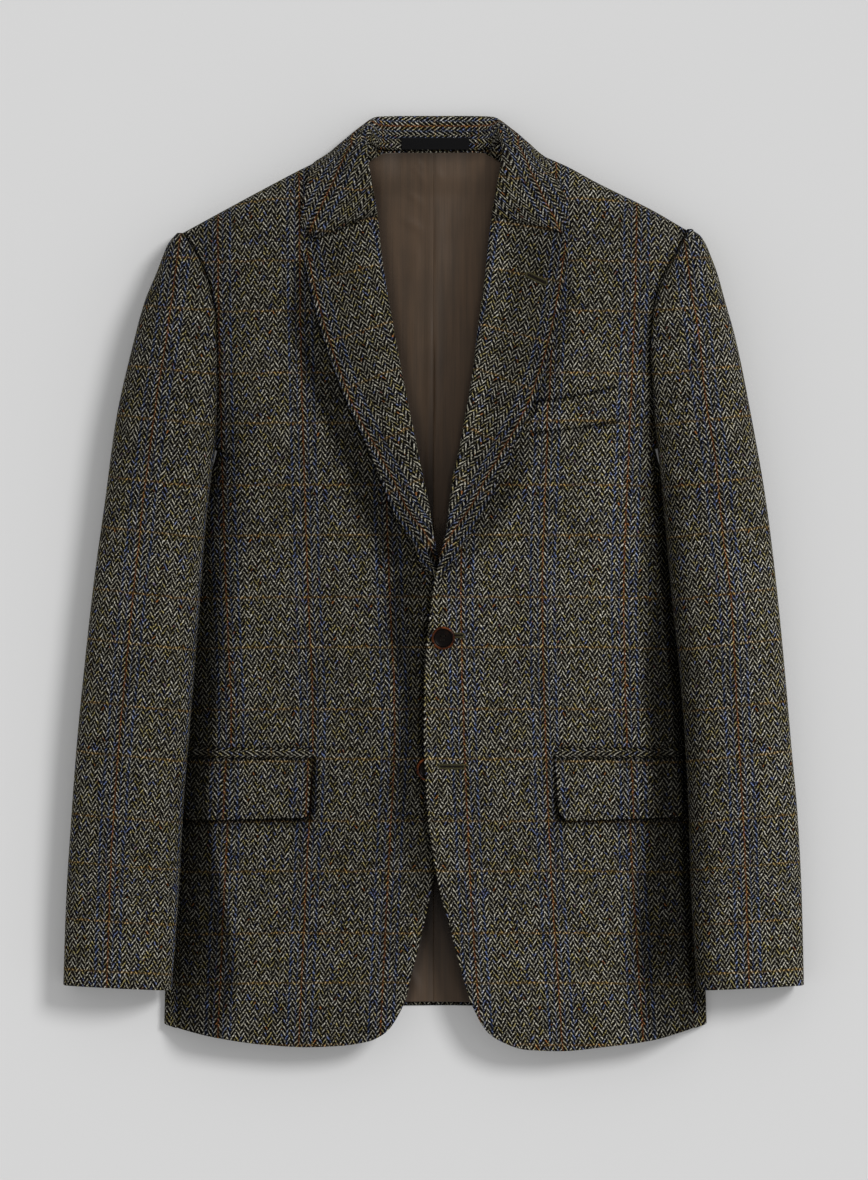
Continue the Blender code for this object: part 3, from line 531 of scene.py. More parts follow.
def collar(u, v):
    stations = mix(1 - len(COLLAR_STATIONS), len(COLLAR_STATIONS) - 1, u[:, 0])
    ends = {side: gorge_row(side, v[0]) for side in (-1, 1)}
    rows = []
    for station in stations:
        share = float(ease((abs(station) - 6.5) / 1.5))
        pairs = zip(collar_row(station, v[0]), ends[-1 if station < 0 else 1])
        rows.append([mix(here, end, share) for here, end in pairs])
    return stacked(rows)


def label(u, v):
    shares = mix(0.006, 0.101, v[0])
    x, y, z = stacked([collar_row(station, shares) for station in mix(-1.09, 1.14, u[:, 0])])
    return x, y, z + TWEED / 2 + 0.9


# Creases of each sleeve, as (place round the section, y) of both ends, half width and depth
SLEEVE_CREASES = {
    -1: (
        (0.10, 150, 0.50, 90, 9, -1.6), (0.06, 96, 0.42, 62, 8, -1.3),
        (0.90, 20, 0.45, -30, 10, -1.5), (0.08, 10, 0.40, -22, 9, -1.3),
        (0.92, -40, 0.60, -66, 8, -1.0), (0.08, -54, 0.34, -90, 10, -1.0),
        (0.30, -200, 0.70, -250, 12, -0.9), (0.85, -150, 0.55, -190, 10, -0.8),
        (0.35, 240, 0.45, 180, 14, -0.8), (0.62, 200, 0.70, 120, 14, 0.9),
    ),
    1: (
        (0.10, 140, 0.46, 84, 9, -1.5), (0.05, 84, 0.44, 44, 9, -1.2),
        (0.90, 30, 0.50, -20, 10, -1.4), (0.08, 0, 0.38, -34, 9, -1.3),
        (0.94, -30, 0.62, -52, 8, -1.0), (0.06, -70, 0.30, -100, 9, -0.9),
        (0.34, -190, 0.74, -246, 12, -0.9), (0.86, -130, 0.58, -176, 10, -0.8),
        (0.32, 236, 0.40, 176, 14, -0.8), (0.60, 190, 0.74, 110, 14, 0.8),
    ),
}


def sleeve_point(side, place, y):
    start_out = INNER[side](y) + 1.0
    rise = SLANT(y)
    end_out = OUTER[side](np.minimum(y + rise, 310)) - 1.0
    width = end_out - start_out
    nose = np.minimum(SLEEVE_NOSE, width / 3)
    begin, top, fold = SLEEVE_START(y), SLEEVE_TOP(y), SLEEVE_FOLD(y)
    body = np.where(y < UNDERARM_Y, FOLD[side](y) + 2 - start_out, 0.0)
    beside_flap = ease((-130 - y) / 8) * ease((y + 225) / 8)
    over_body = np.minimum(mix(BASE(y) + 5.2, 16.4, beside_flap), begin - 3)
    closed = ease((150 - y) / 32)

    def underside(across):
        below = 1 - ease((across - body) / 22)
        lifted = np.where(y < UNDERARM_Y, below, closed * (1 - ease(across / 22)))
        return BACK_Z + (over_body - BACK_Z) * lifted

    place = np.where(place < 0, place + 2, place)
    angle = math.pi * np.clip(place, 0, 1)
    across_a = width * (1 - np.cos(angle)) / 2
    line = mix(begin, fold, across_a / width)
    z_a = line + (top - line) * np.maximum(np.sin(angle), 0.0) ** 0.85
    for place_a, y_a, place_b, y_b, half, depth in SLEEVE_CREASES[side]:
        step, rise_y = place_b - place_a, y_b - y_a
        along = (place - place_a) * step * 1e4 + (y - y_a) * rise_y
        along = np.clip(along / (step**2 * 1e4 + rise_y**2), -0.2, 1.2)
        off = np.hypot((place - mix(place_a, place_b, along)) * 100, y - mix(y_a, y_b, along))
        z_a = z_a + depth * ease((along + 0.1) / 0.4) * ease((1.1 - along) / 0.5) * bump(off, half)
    z_a = z_a + 0.4 * swell(place * 100, y, 5 + side, 80) * np.sin(angle)
    angle = math.pi / 2 * np.clip((place - 1) / 0.25, 0, 1)
    across_b = width - nose * (1 - np.cos(angle))
    z_b = mix(fold, underside(across_b), np.sin(angle))
    across_c = mix(width - nose, nose, np.clip((place - 1.25) / 0.5, 0, 1))
    z_c = underside(across_c)
    angle = math.pi / 2 * np.clip((place - 1.75) / 0.25, 0, 1)
    across_d = nose * (1 - np.sin(angle))
    low = underside(across_d)
    z_d = mix(low, mix(low, begin, closed), 1 - np.cos(angle))
    where = [place <= 1, place <= 1.25, place <= 1.75]
    across = np.select(where, [across_a, across_b, across_c], across_d)
    z = np.select(where, [z_a, z_b, z_c], z_d)
    share = across / width
    return side * mix(start_out, end_out, share), y + rise * share, z


def top_sleeve(side, u, y):
    elbow = np.minimum(ELBOW(np.maximum(y, 140)), 1.995)
    inseam = INNER_SEAM(np.clip(y, 40, 130))
    return sleeve_point(side, mix(inseam, elbow, u), y)


def under_sleeve(side, u, y):
    elbow = np.minimum(ELBOW(np.maximum(y, 140)) + 0.004, 1.99)
    inseam = 2 + INNER_SEAM(np.clip(y, 40, 130)) - mix(0.02, 0.07, ease((y - 95) / 15))
    return sleeve_point(side, mix(elbow, inseam, u), y)


def flap_flat(side, u, v):
    corner = 9.0 if side > 0 else 4.0
    bottom = FLAP_TOP - FLAP_DEPTH
    out = mix(FLAP_IN + 3 * v, FLAP_OUT, u)
    rounding = corner * np.maximum(1 - (out - FLAP_IN - 3) / corner, 0.0) ** 2
    return out, mix(FLAP_TOP, bottom - 3 * side * (0.5 - u) + rounding, v)


def flap(side, u, v):
    lift = FLAP_LIFT + FLAP_PROUD * np.sin(math.pi * v / 2) * (1 - u) ** 2
    return laid_on(front_z, side, *flap_flat(side, u, v), lift)


def jet(side, u, v):
    y = FLAP_TOP + SEAM + JET_DEPTH * v
    return laid_on(front_z, side, mix(FLAP_IN, FLAP_OUT, u), y, LAYER + 0.5)


def welt(u, v):
    def across(ends, axis):
        return mix(ends[0][axis], ends[1][axis], u)

    out, y = (mix(across(WELT_LOW, axis), across(WELT_HIGH, axis), v) for axis in (0, 1))
    return laid_on(front_z, 1, out, y - WELT_SAG * np.sin(math.pi * u), LAYER + 0.2)


# ---------------------------------------------------------------- painted shade and light on the cloth

# The least and the most painted shade that a mesh may carry: below 0 it is painted light
SHADE_RANGE = (-0.8, 0.95)
# Painted shade beside the sleeves. Height y, then for right and left: the width fully in shade, its
# fading edge, and its depth
BESIDE_SLEEVE = (
    (-412, 34, 32, 16, 26, 0.30, 0.40), (-360, 50, 38, 12, 28, 0.55, 0.62),
    (-331, 48, 40, 12, 28, 0.64, 0.78), (-261, 31, 32, 10, 28, 0.70, 0.80),
    (-181, 20.5, 27, 6, 18, 0.70, 0.82), (-102, 20.5, 26, 6, 17, 0.65, 0.84),
    (-14, 14, 14, 9, 22, 0.49, 0.75), (73, 2, 5, 10, 20, 0.20, 0.68), (112, 2, 2, 8, 14, 0.4, 0.70),
    (180, 1.5, 1.5, 5, 6, 0.70, 0.70), (265, 1.2, 1.4, 3, 4, 0.72, 0.74),
    (300, 1.2, 1.3, 2.4, 3, 0.76, 0.80), (325, 1, 1, 2, 3, 0.6, 0.6),
)
# Painted shadow of the left front's edge on the right front. Height y, then the width fully in
# shade, its fading edge, and its depth
BY_CLOSING = (
    (-340, 1, 20, 0.0), (-261, 6, 36, 0.58), (-181, 14, 28, 0.66), (-102, 14, 14, 0.74),
    (-14, 31, 16, 0.67), (25, 28, 16, 0.66),
)
# Painted shade beside each lapel's outer edge, with the same columns
BY_RIGHT_LAPEL = (
    (10, 28, 16, 0.66), (30, 25, 18, 0.68), (73, 21, 18, 0.74), (135, 19, 18, 0.70),
    (223, 20, 12, 0.66), (262, 8, 12, 0.55), (290, 2, 8, 0.3),
)
BY_LEFT_LAPEL = (
    (10, 6, 12, 0.2), (40, 12, 16, 0.42), (73, 14, 16, 0.50), (135, 6, 14, 0.36),
    (223, 6, 10, 0.34), (290, 2, 8, 0.2),
)


def near(distance, full, fade):
    """1 up to the first distance, then falling to 0 over the second."""
    return 1 - ease((distance - full) / fade)


def band(rows, y, distance, side=None):
    """Shade from a table: its depth near the line, falling to 0 away from it."""
    columns = (1, 2, 3) if side is None else (1, 3, 5) if side < 0 else (2, 4, 6)
    full, fade, depth = (Curve(rows, k)(np.clip(y, rows[0][0], rows[-1][0])) for k in columns)
    return depth * near(distance, full, fade)


def darkest(*shades):
    """Several shades over one another."""
    left = 1.0
    for shade in shades:
        left = left * (1 - shade)
    return 1 - left


def flap_shade(side, out, y):
    """Painted shade round the flap and above its jet."""
    below, inside = FLAP_TOP - FLAP_DEPTH - y, FLAP_IN + 3 - out
    outside = np.hypot(np.maximum(below, 0), np.maximum(inside, 0))
    parts = [0.8 * near(outside, 1.6, 3.6), 0.4 * near(outside, 3.5, 9.0)]
    if side < 0:
        # Painted shade: the right front's strip inside its flap is wide and dark
        strip = 0.62 * near(np.maximum(inside, 0), 5.5, 5.0)
        parts.append(strip * ease((y - FLAP_TOP + FLAP_DEPTH) / 5))
    beside_flap = (y < FLAP_TOP + 2) & (out < FLAP_OUT + 3)
    above = np.abs(y - (FLAP_TOP + SEAM + JET_DEPTH + 0.8))
    jet_edge = 0.5 * near(above, 0.6, 1.6) * ease((out - FLAP_IN + 1) / 2)
    return np.where(beside_flap, darkest(*parts), 0.0), jet_edge


def welt_shade(out, y):
    """Painted shade below, above and inside the breast welt."""
    (low_out, low_y), (low_end, low_end_y) = WELT_LOW
    (high_out, high_y), (high_end, high_end_y) = WELT_HIGH
    low = mix(low_y, low_end_y, (out - low_out) / (low_end - low_out)) - WELT_SAG
    share = (out - high_out) / (high_end - high_out)
    high = mix(high_y, high_end_y, share) - WELT_SAG * np.sin(math.pi * np.clip(share, 0, 1))
    across = ease((out - low_out) / 3) * ease((163 - out) / 3)
    return (
        0.7 * near(np.abs(low - y), 1.2, 3.0) * across,
        0.8 * near(np.abs(high + 0.9 - y), 1.0, 1.6) * across,
        0.35 * near(np.hypot(out - 90, (y - 160) * 0.9), 4, 14),
    )


# Painted shade on the fronts: beside the sleeves and lapels, under the left front's edge, round the
# flap, by the welt and in the notch
def front_shade(side, out, y):
    parts = [band(BESIDE_SLEEVE, y, INNER[side](y) - out, side)]
    beside = ease((292 - y) / 12) * ease((y - 6) / 14)
    by_lapel = BY_RIGHT_LAPEL if side < 0 else BY_LEFT_LAPEL
    parts.append(band(by_lapel, y, out - LAPEL[side](y)) * beside)
    if side < 0:
        # Painted shadow under the left front's edge
        from_edge = CLOSING[1](y) + out
        parts.append(band(BY_CLOSING, y, from_edge) * ease((24 - y) / 20) * ease((out + 24) / 4))
        parts.append(0.9 * ease((-out - 1.5) / 1.5) * ease((40 - y) / 6))
    parts += flap_shade(side, out, y)
    # Below the collar's leaf the notch is in painted shade
    parts.append((0.5 if side < 0 else 0.35) * near(np.hypot(out - 108, y - 303), 4, 7))
    # The right front is the side away from the light: painted shade over most of it
    if side < 0:
        return darkest(*parts, 0.20 * ease((out - 10) / 20))
    # The left front is painted a little darker towards the top, and a painted highlight lies on its
    # chest by the armhole
    shade = darkest(*parts, *welt_shade(out, y), 0.07 * ease((y - 90) / 60))
    painted_highlight = bump(out - 158, 18) * ease((y + 60) / 120) * ease((250 - y) / 60)
    return shade - 0.22 * painted_highlight * (1 - shade)


def sleeve_shade(side, inside, y):
    """Painted shade: beside the body the left sleeve is in shade, both are in the armhole seam's
    groove, the right sleeve is darker all over and the left one's outer part lighter.
    """
    groove = 0.5 * near(inside, 1.2, 2.5) * ease((y - 100) / 20)
    if side < 0:
        return darkest(groove, 0.11 + 0.13 * ease((y - 60) / 80))
    beside = 0.4 * near(inside, 4, 20) * ease((110 - y) / 40)
    return darkest(groove, beside) - 0.07 * ease((inside - 20) / 20) * ease((90 - y) / 60)


def lining_shade(side, out, y):
    """The satin is in painted shade beside the lapels, under the collar and up under the fronts,
    and is painted lighter where the left lapel shades it.
    """
    inside = ROLL[side](y) - out
    beside = (0.5 if side < 0 else 0.15) * near(inside, 1, 11) * ease((y - 30) / 10)
    above = 0.45 * near(NECK_Y - y, 1, 12)
    hem = 0.5 * near(CLOSING[side](y) - out, 1, 8) * ease((-240 - y) / 20)
    dark = darkest(beside, above, hem, 0.42 * ease((-250 - y) / 10) * near(-y, 290, 60))
    if side < 0:
        return dark
    # Painted light beside the left lapel, where the lapel's shadow falls on the satin
    painted_light = ease((31 - inside) / 13) * ease(inside / 6) * ease((y - 40) / 20)
    strength = 0.75 + 0.25 * ease((240 - y) / 90)
    return dark - strength * painted_light * mix(0.4, 1.0, ease((372 - y) / 50))


def lapel_shade(side, over, v, y):
    # Painted shade in the gorge seam and towards each lapel's outer edge, over all of the right
    # lapel, and low on the right lapel by the V's foot
    from_gorge = (1 - v) * 318
    seam = 0.45 * near(from_gorge, 0.9, 1.6) * (over < NOTCH[side] + 0.02)
    edge = 0.34 * ease((over - 0.1) / 0.3) if side > 0 else 0.13 + 0.2 * ease((over - 0.2) / 0.3)
    under = 0.9 * ease((36 - y) / 8) * ease((0.5 - over) / 0.4) if side < 0 else 0.0
    return darkest(seam, edge, under)


# ---------------------------------------------------------------- materials


class Value:
    """What a node gives. Arithmetic with it makes Math nodes."""

    def __init__(self, nodes, socket):
        self.nodes, self.socket = nodes, socket

    def math(self, operation, *others):
        return self.nodes.make("ShaderNodeMath", 0, self, *others, operation=operation)

    def __add__(self, other):
        return self.math("ADD", other)

    def __sub__(self, other):
        return self.math("SUBTRACT", other)

    def __mul__(self, other):
        return self.math("MULTIPLY", other)

    def __truediv__(self, other):
        return self.math("DIVIDE", other)

    def __mod__(self, other):
        return self.math("MODULO", other)

    def __abs__(self):
        return self.math("ABSOLUTE")


class Nodes:
    """Makes the nodes of one material."""

    def __init__(self, name, slot):
        self.material = bpy.data.materials.new(name)
        self.material.use_nodes = True
        self.tree = self.material.node_tree
        self.shader = self.tree.nodes["Principled BSDF"]
        self.slot = slot

    def put(self, socket, value):
        if isinstance(value, Value):
            self.tree.links.new(value.socket, socket)
        elif isinstance(value, tuple) and len(value) == 3 and socket.type == "RGBA":
            socket.default_value = (*value, 1)
        else:
            socket.default_value = value

    def make(self, kind, output, *values, inputs=None, **settings):
        """Adds a node, fills its inputs in order or by name, and gives one of its outputs."""
        node = self.tree.nodes.new(kind)
        for key, value in settings.items():
            setattr(node, key, value)
        for key, value in zip(inputs or range(len(values)), values):
            self.put(node.inputs[key], value)
        return Value(self, node.outputs[output])

    def mix(self, share, a, b):
        return self.make("ShaderNodeMix", 2, share, a, b, inputs=(0, 6, 7), data_type="RGBA")

    def between(self, value, low, high, to_low=0.0, to_high=1.0, smooth=True):
        """Maps low and high to the two last numbers, smoothly or in a straight line."""
        kind = "SMOOTHSTEP" if smooth else "LINEAR"
        return self.make(
            "ShaderNodeMapRange", 0, value, low, high, to_low, to_high, interpolation_type=kind
        )

    def vector(self, x, y, z=0.0):
        return self.make("ShaderNodeCombineXYZ", 0, x, y, z)

    def noise(self, vector, scale, detail=2.0, roughness=0.5):
        values = {"Vector": vector, "Scale": scale, "Detail": detail, "Roughness": roughness}
        return self.make("ShaderNodeTexNoise", "Fac", *values.values(), inputs=values)

    def drawn_out(self, x, y):
        """Noise that is drawn out along the warp or the weft, by its scales across and along."""
        return self.noise(self.vector(self.across * x, self.along * y), 1.0)

    def split(self, kind, vector):
        first = self.make(kind, 0, vector)
        return [Value(self, output) for output in first.socket.node.outputs]

    def read_cloth(self):
        """The cloth's own coordinates in millimetres: across its warp, and along it."""
        uv = self.make("ShaderNodeUVMap", 0, uv_map="cloth")
        across, along, _ = self.split("ShaderNodeSeparateXYZ", uv)
        self.across, self.along = across * (1 / MM), along * (1 / MM)

    def place(self):
        return self.vector(self.across * MM, self.along * MM)

    def of_mesh(self, name):
        return self.make("ShaderNodeAttribute", "Fac", attribute_name=name)

    def shaded(self, colour, tone=None):
        """A colour darkened or lightened by the piece's own map of painted shade and light: folds,
        grooves, cloth beside the sleeves and the side away from the light.
        """
        light = self.make("ShaderNodeMath", 0, 1.0, self.of_mesh("shade"), operation="SUBTRACT")
        light = light if tone is None else tone * light
        return self.make("ShaderNodeHueSaturation", 0, light, colour, inputs=("Value", "Color"))

    def bump(self, height, strength, distance):
        inputs = ("Strength", "Distance", "Height")
        normal = self.make("ShaderNodeBump", 0, strength, distance, height, inputs=inputs)
        self.put(self.shader.inputs["Normal"], normal)

    def set(self, **values):
        for key, value in values.items():
            self.put(self.shader.inputs[key.replace("_", " ")], value)


# Herringbone in mm: width of a column, rise of the twill across it, and one stroke to the next
COLUMN, TWILL_RISE, TWILL_STEP = 4.0, 1.5, 5.3
# A stroke changes its yarn after this length
YARN_LENGTH = 2.9
# A stroke's half thickness as a share of the step, what the yarn adds to it, and its soft edge
STROKE, STROKE_UNEVEN, STROKE_EDGE = 0.066, 0.036, 0.095
# The checks' spacing, and how far the second gold line is above the first
CHECK_ACROSS, CHECK_ALONG, SECOND_GOLD = 71.5, 98.5, 44.0
NEAR_BLUE, FAR_BLUE = 4.3, 10.4
# Pale yarns: grey cream to olive, then gold, blue and rust flecks with where their chance starts
CREAM, OLIVE = (0.765, 0.745, 0.665), (0.43, 0.398, 0.275)
FLECKS = (
    (0.75, 0.79, (0.46, 0.395, 0.17)), (0.925, 0.935, (0.20, 0.24, 0.42)),
    (0.986, 0.992, (0.36, 0.15, 0.05)),
)
WARP_DARK, WARP_BROWN = (0.0014, 0.0011, 0.0014), (0.0075, 0.0062, 0.0046)


def off_line(value, spacing, shift=0.0):
    """How far a place is from the nearest line of a check."""
    return abs((value + (spacing * 20.5 - shift)) % spacing - spacing / 2)


def tweed_material(name):
    """Herringbone: pale weft strokes on a near-black warp, with rust, blue and gold checks."""
    n = Nodes(name, "tweed")
    n.read_cloth()
    place = n.place()
    wander, fine = n.noise(place, 45.0) - 0.5, n.noise(place, 430.0, 1.0) - 0.5
    u = n.across + (wander * 1.6 + fine * 1.3)
    drift, jitter = n.noise(place, 70.0) - 0.5, n.noise(place, 520.0, 1.0) - 0.5
    v = n.along + (drift * 2.6 + jitter * 1.8)
    # The twill turns back at each column, half a stroke out of step
    column = (u / COLUMN).math("FLOOR")
    slanted = v + u.math("PINGPONG", COLUMN) * TWILL_RISE
    step = slanted / TWILL_STEP + column * 0.5
    away = abs(step.math("FRACT") - 0.5)
    # Each stroke has its own thickness, brightness and colour
    cell = n.vector(column, step.math("FLOOR"), (v / YARN_LENGTH).math("FLOOR"))
    chance, random = n.split("ShaderNodeTexWhiteNoise", cell)
    shade_of_yarn, strength, shade_of_warp = n.split("ShaderNodeSeparateColor", random)
    grain = n.noise(place, 840.0, 2.0, 0.7)
    patch = n.noise(place, 26.0, 3.0, 0.6)
    uneven = (n.drawn_out(0.34, 0.012) + n.drawn_out(0.02, 0.42)) + (patch + grain)
    half = uneven * STROKE_UNEVEN + STROKE
    light = n.between(away, half + STROKE_EDGE, half - STROKE_EDGE)
    light = light * n.between(grain, 0.3, 0.62, 0.25, 1.05)
    light = light * n.between(n.noise(place, 720.0, 1.0), 0.38, 0.58, 0.12, 1.15)
    light = light * n.between(strength, 0.0, 0.8, 0.55, 1.1)
    pale = n.mix(shade_of_yarn, OLIVE, CREAM)
    for low, high, colour in FLECKS:
        pale = n.mix(n.between(chance, low, high), pale, colour)
    dark = n.mix(shade_of_warp, WARP_DARK, WARP_BROWN)
    # Checks along the warp: a rust line with two blue ones on each side
    far = off_line(u, CHECK_ACROSS)
    patchy = n.between(n.noise(place, 240.0), 0.40, 0.58, 0.2, 1.0)
    near_blue = n.between(abs(far - NEAR_BLUE), 1.3, 0.4, 0.0, 0.75)
    far_blue = n.between(abs(far - FAR_BLUE), 1.5, 0.4)
    blue = near_blue.math("MAXIMUM", far_blue) * n.between(patchy, 0.0, 0.9, 0.4, 1.0)
    rust = n.between(far, 1.15, 0.4) * n.between(patchy, 0.0, 0.8, 0.45, 1.0)
    # Checks along the weft: a gold line, and a slightly fainter one between. They show best
    # half way between the rust lines, and come and go
    comes = n.between(n.noise(place, 62.0, 1.0), 0.36, 0.60, 0.7, 1.0)
    gold = n.between(off_line(v, CHECK_ALONG), 1.5, 0.5)
    gold = gold * (n.between(far, 8.0, 22.0, 0.7, 1.0) * comes)
    gold = gold * n.between(patchy, 0.0, 0.9, 0.5, 1.0)
    second = n.between(off_line(v, CHECK_ALONG, SECOND_GOLD), 1.5, 0.5) * (patchy * comes)
    for line, on_pale, pale_colour, on_dark, dark_colour in (
        (blue, 0.86, (0.16, 0.24, 0.50), 0.45, (0.005, 0.009, 0.024)),
        (rust, 0.9, (0.44, 0.155, 0.040), 0.5, (0.050, 0.017, 0.006)),
        (gold, 0.95, (0.66, 0.43, 0.155), 0.45, (0.058, 0.036, 0.011)),
        (second, 0.95, (0.64, 0.39, 0.13), 0.45, (0.058, 0.031, 0.009)),
    ):
        pale = n.mix(line * on_pale, pale, pale_colour)
        dark = n.mix(line * on_dark, dark, dark_colour)
    tone = n.between(n.noise(place, 9.0, 3.0, 0.6), 0.25, 0.75, 0.88, 1.12, smooth=False)
    n.set(Base_Color=n.shaded(n.mix(light, dark, pale), tone))
    n.set(Roughness=0.95, Specular_IOR_Level=0.025)
    n.set(Sheen_Weight=0.012, Sheen_Roughness=0.5, Sheen_Tint=(0.75, 0.7, 0.6))
    n.bump(light + grain * 0.4, 0.35, 0.0003)
    return n


def satin_material():
    n = Nodes("satin_lining", "lining")
    n.read_cloth()
    streak, folds = n.drawn_out(0.9, 0.02), n.drawn_out(0.16, 0.006)
    # Its tone follows the same streaks and small folds as its bump: painted light on their ridges
    # and painted shade in their hollows, mixed with tone that differs at random
    tone = (streak * 0.25 + folds * 0.45) + n.noise(n.place(), 22.0, 3.0) * 0.30
    colour = n.mix(n.between(tone, 0.36, 0.64), (0.060, 0.040, 0.0255), (0.086, 0.0545, 0.033))
    roughness = n.between(streak, 0.3, 0.7, 0.38, 0.48, smooth=False)
    n.set(Base_Color=n.shaded(colour), Roughness=roughness, Specular_IOR_Level=0.22)
    n.set(Anisotropic=0.35, Sheen_Weight=0.05, Sheen_Roughness=0.3)
    weave = (n.across * 14.0).math("SINE") + (n.along * 9.0).math("SINE")
    n.bump(weave * 0.08 + (streak + folds * 3.0), 0.2, 0.0003)
    return n


def label_material():
    n = Nodes("plain_label", "label")
    n.read_cloth()
    weave = (n.across * 11.0).math("SINE") + (n.along * 8.0).math("SINE")
    # The weave's hollows are painted darker, as shade
    colour = n.mix(n.between(weave, -2.0, 2.0), (0.002, 0.002, 0.0024), (0.0042, 0.0042, 0.0048))
    n.set(Base_Color=colour, Roughness=0.8, Specular_IOR_Level=0.16)
    n.bump(weave, 0.3, 0.0001)
    return n


def horn_material():
    """Dark horn with a rust-brown rim. The mesh says where the rim is."""
    n = Nodes("horn", "horn")
    place = n.make("ShaderNodeTexCoord", "Object")
    fleck = n.noise(place, 900.0)
    tone = n.noise(place, 260.0, 4.0, 0.65) * 0.75 + fleck * 0.25
    patch = n.between(n.noise(place, 75.0, 1.0), 0.38, 0.62)
    mottle = n.between(tone, 0.40, 0.66)
    brown = n.mix(mottle, (0.006, 0.002, 0.0012), (0.070, 0.016, 0.004))
    brown = n.mix(patch * n.between(tone, 0.35, 0.60), brown, (0.14, 0.036, 0.008))
    dark = n.mix(mottle, (0.0012, 0.0006, 0.0005), (0.006, 0.0025, 0.0015))
    colour = n.mix(n.of_mesh("rim"), dark, brown)
    n.set(Base_Color=colour, Roughness=0.3, Specular_IOR_Level=0.08)
    n.bump(fleck, 0.08, 0.0001)
    return n


def thread_material(name, colour):
    n = Nodes(name, "tweed")
    n.read_cloth()
    twist = ((n.along + n.across * 1.4) * 9.0).math("SINE")
    # The twist's hollows are painted darker, as shade
    darker = tuple(c * 0.45 for c in colour)
    n.set(Base_Color=n.mix(n.between(twist, -1.0, 1.0), darker, colour), Roughness=0.8)
    n.set(Specular_IOR_Level=0.1, Sheen_Weight=0.04, Sheen_Roughness=0.4)
    n.bump(twist, 0.6, 0.0002)
    return n


# ---------------------------------------------------------------- meshes

CLOSE = [0.5, 1.2, 2.2, 3.6, 5.4]
RIM_BULGE, RIM_MAP = 0.35, 0.006


def stations(length, spacing, edges=(True, True)):
    """Shares from 0 to 1 about one spacing apart, closer at the edges that show."""
    start, end = (CLOSE if edge else [0.0] for edge in edges)
    count = max(2, int(round((length - end[-1] - start[-1]) / spacing)) + 1)
    inside = np.linspace(start[-1], length - end[-1], count)
    values = [0.0, *start[:-1], *inside, *[length - d for d in end[-2::-1]], length]
    return np.unique(np.round(np.array(values) / length, 6))


def grid(surface, *arguments):
    """A surface's points at all pairs of the last two arguments' values."""
    *side, u, v = arguments
    u, v = np.meshgrid(u, v, indexing="ij")
    return np.stack([np.broadcast_to(part, u.shape) for part in surface(*side, u, v)], axis=-1)


def unit(vectors):
    return vectors / np.maximum(np.linalg.norm(vectors, axis=-1, keepdims=True), 1e-9)


def path_lengths(points, axis=0):
    """How far along each row or column of points every point is."""
    steps = np.linalg.norm(np.diff(points, axis=axis), axis=-1)
    zero = np.zeros_like(np.take(steps, [0], axis=axis))
    return np.cumsum(np.concatenate([zero, steps], axis=axis), axis=axis)


# Each piece of cloth, and the lengths in metres of its longest column and row along the cloth
made, cut_size = {}, {}


